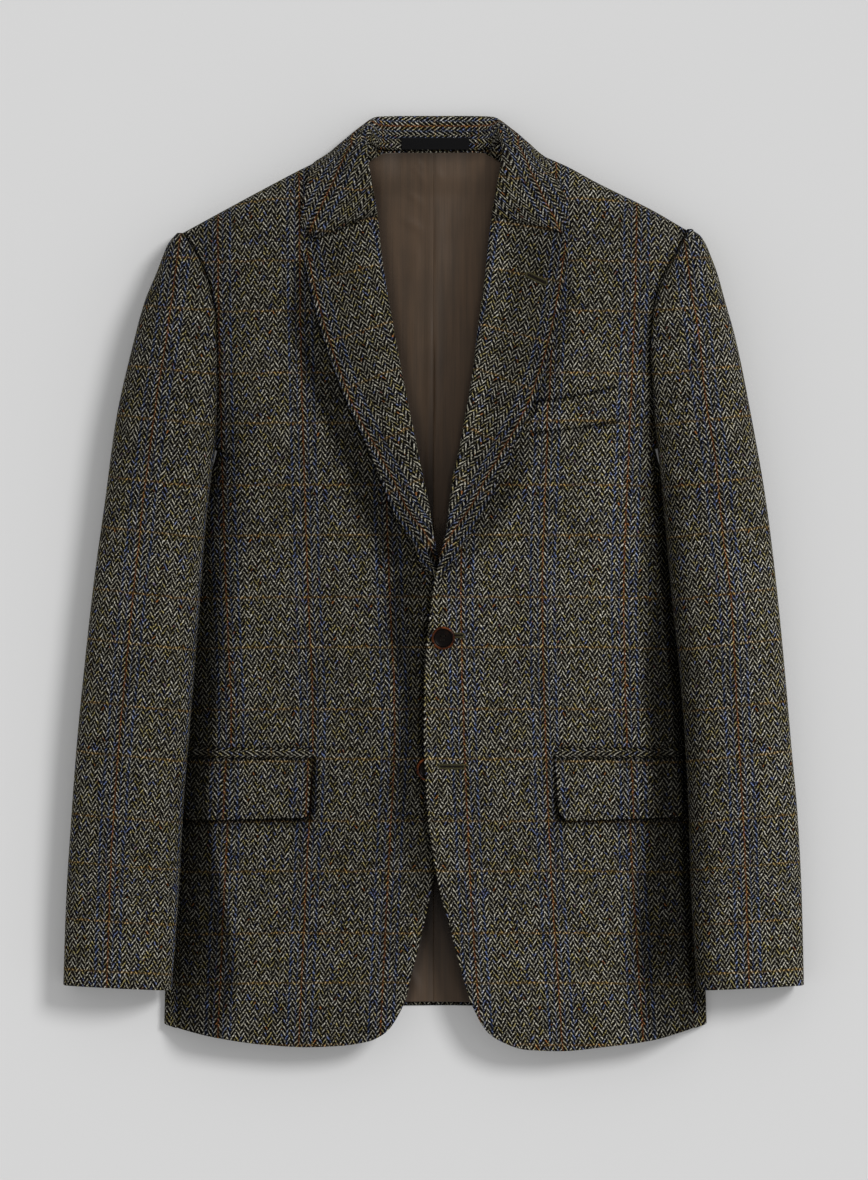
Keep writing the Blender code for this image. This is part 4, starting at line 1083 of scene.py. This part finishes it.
def shell(
    key, points, cloth=None, flip=False, shade=0.0,
    material=None, prefix="tweed_", node=None, thickness=TWEED,
):
    """A thin closed shell round a grid of points in mm, with rounded rims all round."""
    rows, columns = points.shape[:2]
    count = rows * columns
    normal = unit(np.cross(np.gradient(points, axis=0), np.gradient(points, axis=1)))
    lift = normal * (-thickness / 2 if flip else thickness / 2)
    run_u, run_v = path_lengths(points, 0), path_lengths(points, 1)
    cut_size[key] = float(run_u[-1].max()) * MM, float(run_v[:, -1].max()) * MM

    # Once round the grid: each place on the edge, and the sides that it is on
    i, j = np.arange(rows), np.arange(columns)
    ring_i = [i, np.full(columns - 1, rows - 1), i[-2::-1], np.zeros(columns - 2, int)]
    ring_j = [np.zeros(rows, int), j[1:], np.full(rows - 1, columns - 1), j[-2:0:-1]]
    ring_i, ring_j = np.concatenate(ring_i), np.concatenate(ring_j)
    side_i = (ring_i == rows - 1).astype(int) - (ring_i == 0)
    side_j = (ring_j == columns - 1).astype(int) - (ring_j == 0)
    outward = unit(points[ring_i, ring_j] - points[ring_i - side_i, ring_j - side_j])
    rim = points[ring_i, ring_j] + outward * (RIM_BULGE * thickness)
    vertices = [(points + lift).reshape(-1, 3), (points - lift).reshape(-1, 3), rim]

    index = np.arange(count).reshape(rows, columns)
    corners = index[:-1, :-1], index[1:, :-1], index[1:, 1:], index[:-1, 1:]
    outer = np.stack(corners, axis=-1).reshape(-1, 4)
    on_edge, on_rim = index[ring_i, ring_j], 2 * count + np.arange(len(ring_i))
    edge_next, rim_next = np.roll(on_edge, -1), np.roll(on_rim, -1)
    faces = np.concatenate([
        outer, outer[:, ::-1] + count, np.stack([edge_next, on_edge, on_rim, rim_next], axis=-1),
        np.stack([rim_next, on_rim, on_edge + count, edge_next + count], axis=-1),
    ])

    # The map for baking: the outer face nearly fills it, the inner one is a strip at the top
    share_u = (run_u / np.maximum(run_u[-1:], 1e-9)).reshape(-1)
    share_v = (run_v / np.maximum(run_v[:, -1:], 1e-9)).reshape(-1)
    outer_map = np.stack([0.02 + 0.96 * share_u, 0.02 + 0.86 * share_v], axis=-1)
    inner_map = np.stack([outer_map[:, 0], 0.91 + 0.08 * share_v], axis=-1)
    past = RIM_MAP * np.stack([side_i, side_j], axis=-1)
    bake = np.concatenate([outer_map, inner_map, outer_map[on_edge] + past])[faces]
    far = outer_map[on_edge] + 2 * past
    bake[-len(far):, 2:] = np.stack([far, np.roll(far, -1, axis=0)], axis=1)
    if flip:
        faces, bake = faces[:, ::-1], bake[:, ::-1]

    def on_vertices(values):
        values = np.broadcast_to(values, (rows, columns)).reshape(-1)
        return np.concatenate([values, values, values[on_edge]])

    mesh = bpy.data.meshes.new(prefix + key)
    mesh.from_pydata((np.concatenate(vertices) * MM).tolist(), [], faces.tolist())
    weave = np.stack([on_vertices(part) for part in cloth or (run_u, run_v)], axis=-1) * MM
    for layer, values in (("cloth", weave[faces]), ("OFBake", bake)):
        mesh.uv_layers.new(name=layer).uv.foreach_set("vector", values.astype(np.float32).ravel())
    mesh.uv_layers.active = mesh.uv_layers["cloth"]
    put_on_vertices(mesh, "shade", on_vertices(np.clip(shade, *SHADE_RANGE)))
    made[key] = finish_piece(prefix + key, mesh, material or tweed, node or key)


def put_on_vertices(mesh, name, values):
    values = np.asarray(values, np.float32)
    mesh.attributes.new(name, "FLOAT", "POINT").data.foreach_set("value", values)


def finish_piece(name, mesh, material, node=None):
    mesh.materials.append(material.material)
    mesh.shade_smooth()
    mesh.update()
    piece = bpy.data.objects.new(name, mesh)
    bpy.context.scene.collection.objects.link(piece)
    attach(piece, "root")
    if node:
        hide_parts(node)
    return piece


# ---------------------------------------------------------------- cloth on its pieces

# How far each piece's cloth is shifted from the body's checks: across and along
SHIFT = {
    "back": (-35, 0), "side": (20, 0), "flap": (-3.5, 2.0), "welt": (1.0, -2.0),
    "lapel": (4.0, 12.0), "jet": (6.0 + CHECK_ACROSS / 2, 0),
}
LAPEL_LOW_SHIFT = 9.0


def front_cloth(side, out, y, shift=(0.0, 0.0)):
    sag = 1.6 * ease((out - 130) / 90)
    return out - GRAIN[side](y) + shift[0], y - GRAIN_Y + sag + shift[1]


LONGER_SHARE = 0.7


def longer_than_plan(pts):
    """How much longer each column is along the cloth than seen from above."""
    return path_lengths(pts, 1) - path_lengths(pts * (1, 1, 0), 1)


def lapel_cloth(out, y, pts, v, roll_end):
    """The lapel's warp follows its outer edge, and goes on round the roll."""
    edge = np.stack([out[-1], y[-1]], axis=-1)
    tangent = np.gradient(edge, axis=0)
    tangent /= np.linalg.norm(tangent, axis=1, keepdims=True)
    off = np.stack([out, y], axis=-1) - edge
    along = path_lengths(edge) + (off * tangent).sum(-1)
    across = off[..., 0] * tangent[:, 1] - off[..., 1] * tangent[:, 0]
    turned = path_lengths(pts)
    across = across - np.maximum(turned[roll_end] - turned, 0)
    shift_across, shift_along = SHIFT["lapel"]
    lower = LAPEL_LOW_SHIFT * ease((0.5 - v) / 0.35)
    return across + shift_across + lower, along + shift_along


# The cloth's place across is mixed from the length round the sleeve and its width in plan
PLAN_SHARE = 0.45
SLEEVE_LINE_Y, CUFF_SHIFT = 45.0, 7.5


def sleeve_cloth(side, pts, y_rows):
    arc = path_lengths(pts)
    plan = np.cumsum(np.abs(np.diff(pts[..., 0], axis=0, prepend=pts[:1, :, 0])), axis=0)
    arc = mix(arc, plan, PLAN_SHARE)
    y = y_rows + SLANT(y_rows) / 2
    rising = slice(0, int(len(pts) * 0.55))
    start = [
        np.interp(SLEEVE_LINE[side](y[j]), side * pts[rising, j, 0], arc[rising, j])
        for j in range(len(y))
    ]
    return arc - np.array(start), y - CUFF_SHIFT * ease((-230 - y_rows) / 60) - SLEEVE_LINE_Y


# From here along the collar its cloth slants, and its first column's place beyond the crest
COLLAR_TURN, COLLAR_TURN_ANGLE, COLLAR_COLUMN, NECK_COLUMN = 105.0, math.radians(33), 12, 22.0


def collar_cloth(path, run):
    """The cloth's columns run along the collar, and slant outwards on the leaves."""
    crest = path[:, int(path.shape[1] * 0.4)][:, None]
    past = np.abs(run) - COLLAR_TURN
    turn = COLLAR_TURN_ANGLE * ease((past + 45) / 60)
    from_crest = path - crest - COLLAR_COLUMN
    slanted = np.cos(turn) * from_crest - np.sin(turn) * np.maximum(past, 0)
    across = mix(path - NECK_COLUMN, slanted, ease((past + 45) / 45))
    along = np.sign(run) * (np.abs(run) + np.sin(turn) * np.maximum(from_crest, 0) * 0.8)
    return across, along


# ---------------------------------------------------------------- build

tweed = tweed_material("tweed_body")
tweed_sleeve = tweed_material("tweed_sleeves")
satin = satin_material()
plain_label = label_material()
horn = horn_material()

for side, word in ((-1, "right"), (1, "left")):
    # The right side's grids are mirror images, so their faces turn round
    mirrored = side < 0

    pts = grid(front, side, stations(215, 2.6), stations(790, 2.8))
    out, y = side * pts[..., 0], pts[..., 1]
    # Over the shoulder the cloth's length is measured along its curve
    longer = np.diff(longer_than_plan(pts), axis=1, prepend=0)
    longer = np.cumsum(longer * ease((36 - from_shoulder(side, out, y)) / 8), axis=1)
    cloth = front_cloth(side, out, y, (0.0, LONGER_SHARE * longer))
    shell("front_" + word, pts, cloth, mirrored, front_shade(side, out, y))

    pts = grid(back, side, stations(180, 5.5), stations(750, 6.5))
    out, y = side * pts[..., 0], pts[..., 1]
    # Painted shade on the strip of the back's hem that shows between the fronts
    shade = 0.6 * near(out, 42, 16) * ease((-358 - y) / 6)
    cloth = out + SHIFT["back"][0], y - GRAIN_Y + longer_than_plan(pts)
    shell("back_" + word, pts, cloth, not mirrored, shade)

    parts = ((0, TURN_START, 7), (TURN_START, TURN_END, 25), (TURN_END, 1, 9))
    u = np.unique(np.concatenate([np.linspace(*part) for part in parts]))
    pts = grid(side_panel, side, u, stations(500, 3.2))
    y = pts[..., 1]
    # Painted shade on the side panel's upper part, under the sleeve, less towards the hem
    shade = 0.7 * ease((pts[..., 2] - 3) / 6) * ease((y + 400) / 50)
    shell("side_" + word, pts, (path_lengths(pts) + SHIFT["side"][0], y - GRAIN_Y), mirrored, shade)

    pts = grid(lining, side, stations(150, 1.5) * 0.8, stations(745, 3.0))
    x, y = pts[..., 0], pts[..., 1]
    shade = lining_shade(side, side * x, y)
    shell("lining_" + word, pts, (x, y), mirrored, shade, satin, "satin_", thickness=LINING)

    over = stations(65, 1.8, (False, True))
    tuck, roll = np.linspace(-1, ROLL_START, 4), np.linspace(ROLL_START, 0, 15)
    turn = np.concatenate([tuck[:-1], roll[:-1], over])
    v = stations(310, 2.2)
    pts = grid(lapel, side, turn, v)
    laid = np.clip(turn, 0, 1)
    out, y = np.moveaxis(grid(lapel_flat, side, laid, v), -1, 0)
    shell(
        "lapel_" + word, pts, lapel_cloth(out, y, pts, v, len(turn) - len(over)), mirrored,
        lapel_shade(side, laid[:, None], v, pts[..., 1]),
    )

    y_rows = mix(SHOULDER_END_Y[side], CUFF_Y, stations(660, 2.8))
    pts = grid(top_sleeve, side, stations(190, 2.4), y_rows)
    shade = sleeve_shade(side, side * pts[..., 0] - INNER[side](pts[..., 1]), y_rows)
    shell(
        "sleeve_top_" + word, pts, sleeve_cloth(side, pts, y_rows), not mirrored, shade,
        tweed_sleeve, node="sleeve_" + word + "_top",
    )

    y_rows = mix(UNDER_SLEEVE_Y, CUFF_Y, stations(560, 5.0))
    pts = grid(under_sleeve, side, stations(100, 4.0), y_rows)
    shell(
        "sleeve_under_" + word, pts, (path_lengths(pts), y_rows - SLEEVE_LINE_Y), not mirrored,
        material=tweed_sleeve, node="sleeve_" + word + "_under",
    )

    u, v = stations(112, 1.8), stations(54, 1.6)
    out, y = np.moveaxis(grid(flap_flat, side, u, v), -1, 0)
    # Painted shade: a seam line at the flap's top, the whole flap a little darker, the right one
    # more, and the shade beside the sleeve
    beside = band(BESIDE_SLEEVE, y, INNER[side](y) - out, side)
    shade = darkest(0.75 * near(FLAP_TOP - y, 0.7, 1.6), 0.24 if side < 0 else 0.06, beside)
    cloth = front_cloth(side, out, y, SHIFT["flap"])
    shell("flap_" + word, grid(flap, side, u, v), cloth, not mirrored, shade)

    pts = grid(jet, side, u, stations(8, 1.0))
    out, y = side * pts[..., 0], pts[..., 1]
    # Painted shade in the seams below and above the jet, the whole jet a little darker, and the
    # shade beside the sleeve
    shade = darkest(
        0.6 * near(y - FLAP_TOP, 0.7, 1.4),
        0.3 * near(np.abs(FLAP_TOP + SEAM + JET_DEPTH - y), 0.3, 1.0),
        0.22, band(BESIDE_SLEEVE, y, INNER[side](y) - out, side),
    )
    # Its cloth is cut across the grain
    cloth = y - FLAP_TOP + SHIFT["jet"][0], out
    shell("jet_" + word, pts, cloth, mirrored, shade)

v = stations(27, 1.5)
pts = grid(welt, stations(76, 1.6), v)
# Painted shade along the welt's upper and lower seams
shade = darkest(0.5 * near(28 * (1 - v), 0.6, 1.3), 0.3 * near(28 * v, 0.5, 1.6))
cloth = front_cloth(1, pts[..., 0], pts[..., 1], SHIFT["welt"])
shell("breast_welt", pts, cloth, shade=shade)

pts = grid(collar, stations(420, 2.2), stations(75, 1.3))
path = path_lengths(pts, 1)
run = path_lengths(pts)[:, pts.shape[1] * 3 // 4][:, None]
run = run - run[len(run) // 2]
# Painted shade in the gorge seams at its ends and along the neck seam, and on its fronts, more on
# the right
shade = darkest(
    0.4 * near(run[-1] - np.abs(run), 0.9, 1.6), 0.5 * near(path, 0.8, 2.2),
    np.where(run < 0, 0.22, 0.19) * ease((np.abs(run) - 60) / 40),
)
shell("collar", pts, collar_cloth(path, run), True, shade)
pts = grid(label, stations(62, 2.0), stations(9, 1.0))
shell("neck_label", pts, flip=True, material=plain_label, prefix="plain_", thickness=LINING)

# ---------------------------------------------------------------- buttons and buttonholes

HOLE_RADIUS, HOLE_OFF, HOLE_SIDES = 0.85, 1.75, 16
HOLES = [(i * HOLE_OFF, j * HOLE_OFF) for i in (-1, 1) for j in (-1, 1)]
DISH_FLOOR, DISH_RADIUS, FOOT_RADIUS = 1.9, 6.9, 6.2
BUTTON_SIDES, THREAD_SIDES = 96, 10
RIM_START = BUTTON_RADIUS - BUTTON_RIM
# The button's side from its dish over its rim to its foot: radius and height
PROFILE = (
    (DISH_RADIUS, DISH_FLOOR), (RIM_START - 0.3, 2.1), (RIM_START, 2.5), (RIM_START + 0.3, 3.0),
    (RIM_START + 0.8, 3.32), (RIM_START + 1.4, 3.4), (RIM_START + 2.0, 3.25),
    (BUTTON_RADIUS - 0.25, 2.9), (BUTTON_RADIUS, 2.4), (BUTTON_RADIUS - 0.1, 1.8),
    (BUTTON_RADIUS - 0.9, 1.0), (BUTTON_RADIUS - 2.2, 0.4), (FOOT_RADIUS, 0.0),
)
# Half a strand of a button's thread, from the cloth up through a hole: across, share of the
# strand's own place beside its fellows, and height
STRAND = (
    (HOLE_OFF, 0.7, -BUTTON_GAP - 0.3), (HOLE_OFF, 0.8, DISH_FLOOR - 0.3),
    (HOLE_OFF * 0.7, 1.0, DISH_FLOOR + 0.35),
)


def circle(centre, radius, count):
    angles = 2 * math.pi * np.arange(count) / count
    return np.array(centre) + radius * np.stack([np.cos(angles), np.sin(angles)], axis=-1)


def pierced_disc(radius, up):
    """A disc with four holes: its points, and its triangles facing up or down."""
    rings = [circle((0, 0), radius, BUTTON_SIDES)]
    rings += [circle(hole, HOLE_RADIUS, HOLE_SIDES) for hole in HOLES]
    found = delaunay_2d_cdt([Vector(p) for p in np.concatenate(rings)], [], [], 0, 1e-6)
    points, faces = found[0], []
    for face in found[2]:
        a, b, c = (points[k] for k in face)
        middle = (a + b + c) / 3
        if all((middle - Vector(h)).length > HOLE_RADIUS * 0.97 for h in HOLES):
            left = (b - a).cross(c - a) > 0
            faces.append(tuple(face) if left == up else tuple(reversed(face)))
    return [tuple(p) for p in points], faces


def tube_faces(start, rings, sides):
    """Quads between rings of points that follow one another from a start."""
    faces = []
    for r in range(rings - 1):
        for k in range(sides):
            a, b = start + r * sides + k, start + r * sides + (k + 1) % sides
            faces.append((a, a + sides, b + sides, b))
    return faces


def button(name, node, centre, bottom):
    """A turned rim round a dished middle with four holes, and thread across them."""
    points = [(x, y, z) for r, z in PROFILE for x, y in circle((0, 0), r, BUTTON_SIDES)]
    faces = tube_faces(0, len(PROFILE), BUTTON_SIDES)
    for radius, z, up in ((DISH_RADIUS, DISH_FLOOR, True), (FOOT_RADIUS, 0.0, False)):
        flat, triangles = pierced_disc(radius, up)
        faces += [tuple(len(points) + k for k in triangle) for triangle in triangles]
        points += [(x, y, z) for x, y in flat]
    for hole in HOLES:
        faces += tube_faces(len(points), 2, HOLE_SIDES)
        wall = circle(hole, HOLE_RADIUS, HOLE_SIDES)
        points += [(x, y, z) for z in (0.0, DISH_FLOOR) for x, y in wall]
    mesh = bpy.data.meshes.new(name)
    seat = np.array((*centre, bottom))
    mesh.from_pydata(((seat + points) * MM).tolist(), [], faces)
    joined = bmesh.new()
    joined.from_mesh(mesh)
    bmesh.ops.remove_doubles(joined, verts=joined.verts, dist=1e-6)
    joined.to_mesh(mesh)
    joined.free()
    away = [math.hypot(v.co.x / MM - centre[0], v.co.y / MM - centre[1]) for v in mesh.vertices]
    put_on_vertices(mesh, "rim", ease((np.array(away) - RIM_START - 0.6) / 0.7))
    finish_piece(name, mesh, horn, node)
    mesh.set_sharp_from_angle(angle=math.radians(40))
    # Two bars of three strands
    strands = []
    for row in (-HOLE_OFF, HOLE_OFF):
        for beside in (-0.42, 0.0, 0.42):
            path = [(-x, row + beside * share, z) for x, share, z in STRAND]
            path.append((0, row + beside, DISH_FLOOR + 0.5))
            path += [(x, row + beside * share, z) for x, share, z in reversed(STRAND)]
            strands.append(smooth_path(np.array(path) + seat, 24))
    tube(name.replace("horn_button", "button_thread"), strands, 0.26, dark_thread)


def smooth_path(points, count):
    run = path_lengths(points)
    at = np.linspace(0, run[-1], count)
    return np.stack([Curve(list(zip(run, points[:, axis])))(at) for axis in range(3)], axis=-1)


def tube(name, paths, radius, material, closed=False, stitch=0.0, flat=1.0):
    """Round thread along each path in mm. A stitch length gives it the ribs of close stitching."""
    points, faces, weave = [], [], []
    for path in paths:
        count = len(path)
        ahead = np.gradient(path, axis=0)
        if closed:
            ahead = np.roll(path, -1, axis=0) - np.roll(path, 1, axis=0)
        ahead = unit(ahead)
        guide = np.where(np.abs(ahead[:, 2:]) > 0.9, (0.0, 1.0, 0.0), (0.0, 0.0, 1.0))
        across = unit(np.cross(ahead, guide))
        up = np.cross(across, ahead)
        run = path_lengths(path)
        ribs = 0.16 * np.sin(2 * math.pi * run / stitch) if stitch else 0 * run
        width = (radius * (1 + ribs))[:, None]
        start = len(points)
        for k in range(THREAD_SIDES):
            angle = 2 * math.pi * k / THREAD_SIDES
            ring = path + width * (math.cos(angle) * across + flat * math.sin(angle) * up)
            points += (ring * MM).tolist()
            weave += [(k * radius * 0.63 * MM, r * MM) for r in run]
            here, beside = start + k * count, start + (k + 1) % THREAD_SIDES * count
            for i in range(count if closed else count - 1):
                j = (i + 1) % count
                faces.append((here + i, here + j, beside + j, beside + i))
        if not closed:
            first = [start + k * count for k in range(THREAD_SIDES)]
            faces += [tuple(first), tuple(k + count - 1 for k in reversed(first))]
    mesh = bpy.data.meshes.new(name)
    mesh.from_pydata(points, [], faces)
    layer = mesh.uv_layers.new(name="cloth")
    for loop in mesh.loops:
        layer.uv[loop.index].vector = weave[loop.vertex_index]
    finish_piece(name, mesh, material)


def buttonhole(name, on, start, end, half_width, slit_radius=0.75):
    """A worked buttonhole from start to end (x, y) in mm, on top of a piece."""
    vertices = [vertex.co.copy() for vertex in on.data.vertices]
    tree = BVHTree.FromPolygons(vertices, [tuple(polygon.vertices) for polygon in on.data.polygons])
    start, end = np.array(start), np.array(end)
    length = np.linalg.norm(end - start)
    ahead = (end - start) / length
    across = np.array([-ahead[1], ahead[0]])

    def drop(along, off, lift):
        """The place on the cloth, so far along and beside the hole's middle."""
        x, y = start + ahead * along + across * off
        place, normal, _, _ = tree.ray_cast(Vector((x * MM, y * MM, 0.3)), Vector((0, 0, -1)))
        return np.array(place) / MM + np.array(normal) * lift

    straight, turn = length - 2 * half_width, math.pi * half_width
    loop = []
    for run in np.arange(0, 2 * (straight + turn), 0.2):
        # The way back mirrors the way out
        back = run >= straight + turn
        run = run - straight - turn if back else run
        angle = max(run - straight, 0) / half_width
        along = half_width + min(run, straight) + half_width * math.sin(angle)
        off = half_width * math.cos(angle)
        loop.append(drop(length - along, -off, 0.2) if back else drop(along, off, 0.2))
    tube(name, [np.array(loop)], 0.8, hole_thread, closed=True, stitch=0.8, flat=0.55)
    inset = half_width * 0.6
    slit = [drop(along, 0, 0.12) for along in np.linspace(inset, length - inset, 40)]
    tube(name + "_slit", [np.array(slit)], slit_radius, dark_thread, flat=0.3 / slit_radius)


dark_thread = thread_material("dark_thread", (0.009, 0.006, 0.0035))
hole_thread = thread_material("buttonhole_thread", (0.062, 0.056, 0.024))
above_cloth = TWEED / 2 + BUTTON_GAP
upper_seat = float(front_z(1, *UPPER_BUTTON)) + above_cloth
lower_seat = float(front_z(-1, -LOWER_BUTTON[0], LOWER_BUTTON[1])) + above_cloth + 0.3
button("horn_button_upper", "button_1", UPPER_BUTTON, upper_seat)
button("horn_button_lower", "button_2", LOWER_BUTTON, lower_seat)
buttonhole("buttonhole_upper", made["front_left"], (5.7, -45.6), (26.8, -45.6), 1.65)
buttonhole("buttonhole_lower", made["front_left"], (5.0, -161.0), (27.0, -161.0), 1.65)
buttonhole("buttonhole_lapel", made["lapel_left"], (81.5, 272.0), (99.5, 263.4), 2.0, 1.3)

# ---------------------------------------------------------------- sheets of cloth

# A sheet's flat size may not be less than this, in metres
LEAST_FLAT = 0.01
for key, piece in made.items():
    areas = np.zeros(len(piece.data.polygons))
    piece.data.polygons.foreach_get("area", areas)
    cut = float(areas.sum()) / 2
    wide, long = (max(length, LEAST_FLAT) for length in cut_size[key])
    wide = max(wide, cut / long * 1.01)
    kind, _, word = key.rpartition("_")

# ---------------------------------------------------------------- stage, light and camera

FLOOR_SIZE = 6
floor_mesh = bpy.data.meshes.new("floor")
corners = ((-1, -1), (1, -1), (1, 1), (-1, 1))
corners = [(i * FLOOR_SIZE, j * FLOOR_SIZE, 0) for i, j in corners]
floor_mesh.from_pydata(corners, [], [(0, 1, 2, 3)])
floor = bpy.data.objects.new("floor", floor_mesh)
scene = bpy.context.scene
scene.collection.objects.link(floor)
pale = Nodes("pale_floor", "tweed")
pale.set(Base_Color=(0.585, 0.585, 0.585), Roughness=0.9, Specular_IOR_Level=0.1)
# It glows a little so that its tone is the photo's
pale.set(Emission_Color=(1.0, 1.0, 1.0), Emission_Strength=0.075)
floor_mesh.materials.append(pale.material)

world = bpy.data.worlds.new("studio")
scene.world = world
world.use_nodes = True
background = world.node_tree.nodes["Background"]
background.inputs[0].default_value = (1.0, 1.0, 1.0, 1)
background.inputs[1].default_value = 0.58

# The key light is low on the right and slightly above, so its shadow falls left and down
KEY_FROM = Vector((0.70, 0.56, 1.0))
key_data = bpy.data.lights.new("key", "SUN")
key_data.energy = 1.83
key_data.angle = math.radians(18)
key_light = bpy.data.objects.new("key", key_data)
scene.collection.objects.link(key_light)
key_light.location = KEY_FROM
key_light.rotation_mode = "QUATERNION"
key_light.rotation_quaternion = (-KEY_FROM).to_track_quat("-Z", "Y")

scene.view_settings.view_transform = "Standard"
scene.view_settings.look = "None"

# The photo in pixels, the pixel that is the frame's origin, and the camera's distance in metres
WIDTH, HEIGHT, MM_PER_PX = 868, 1180, 0.88
ORIGIN_X, ORIGIN_Y = 433.5, 583.5
DISTANCE, FOCUS_HEIGHT, SENSOR = 12.0, 0.03, 36.0
camera_data = bpy.data.cameras.new("camera")
camera = bpy.data.objects.new("camera", camera_data)
scene.collection.objects.link(camera)
centre_x = (WIDTH / 2 - ORIGIN_X) * MM_PER_PX * MM
centre_y = (ORIGIN_Y - HEIGHT / 2) * MM_PER_PX * MM
camera.location = (centre_x, centre_y, DISTANCE)
camera_data.sensor_fit = "VERTICAL"
camera_data.sensor_height = SENSOR
camera_data.sensor_width = SENSOR
camera_data.lens = SENSOR * (DISTANCE - FOCUS_HEIGHT) / (HEIGHT * MM_PER_PX * MM)
camera_data.clip_start, camera_data.clip_end = 0.1, 50
scene.camera = camera
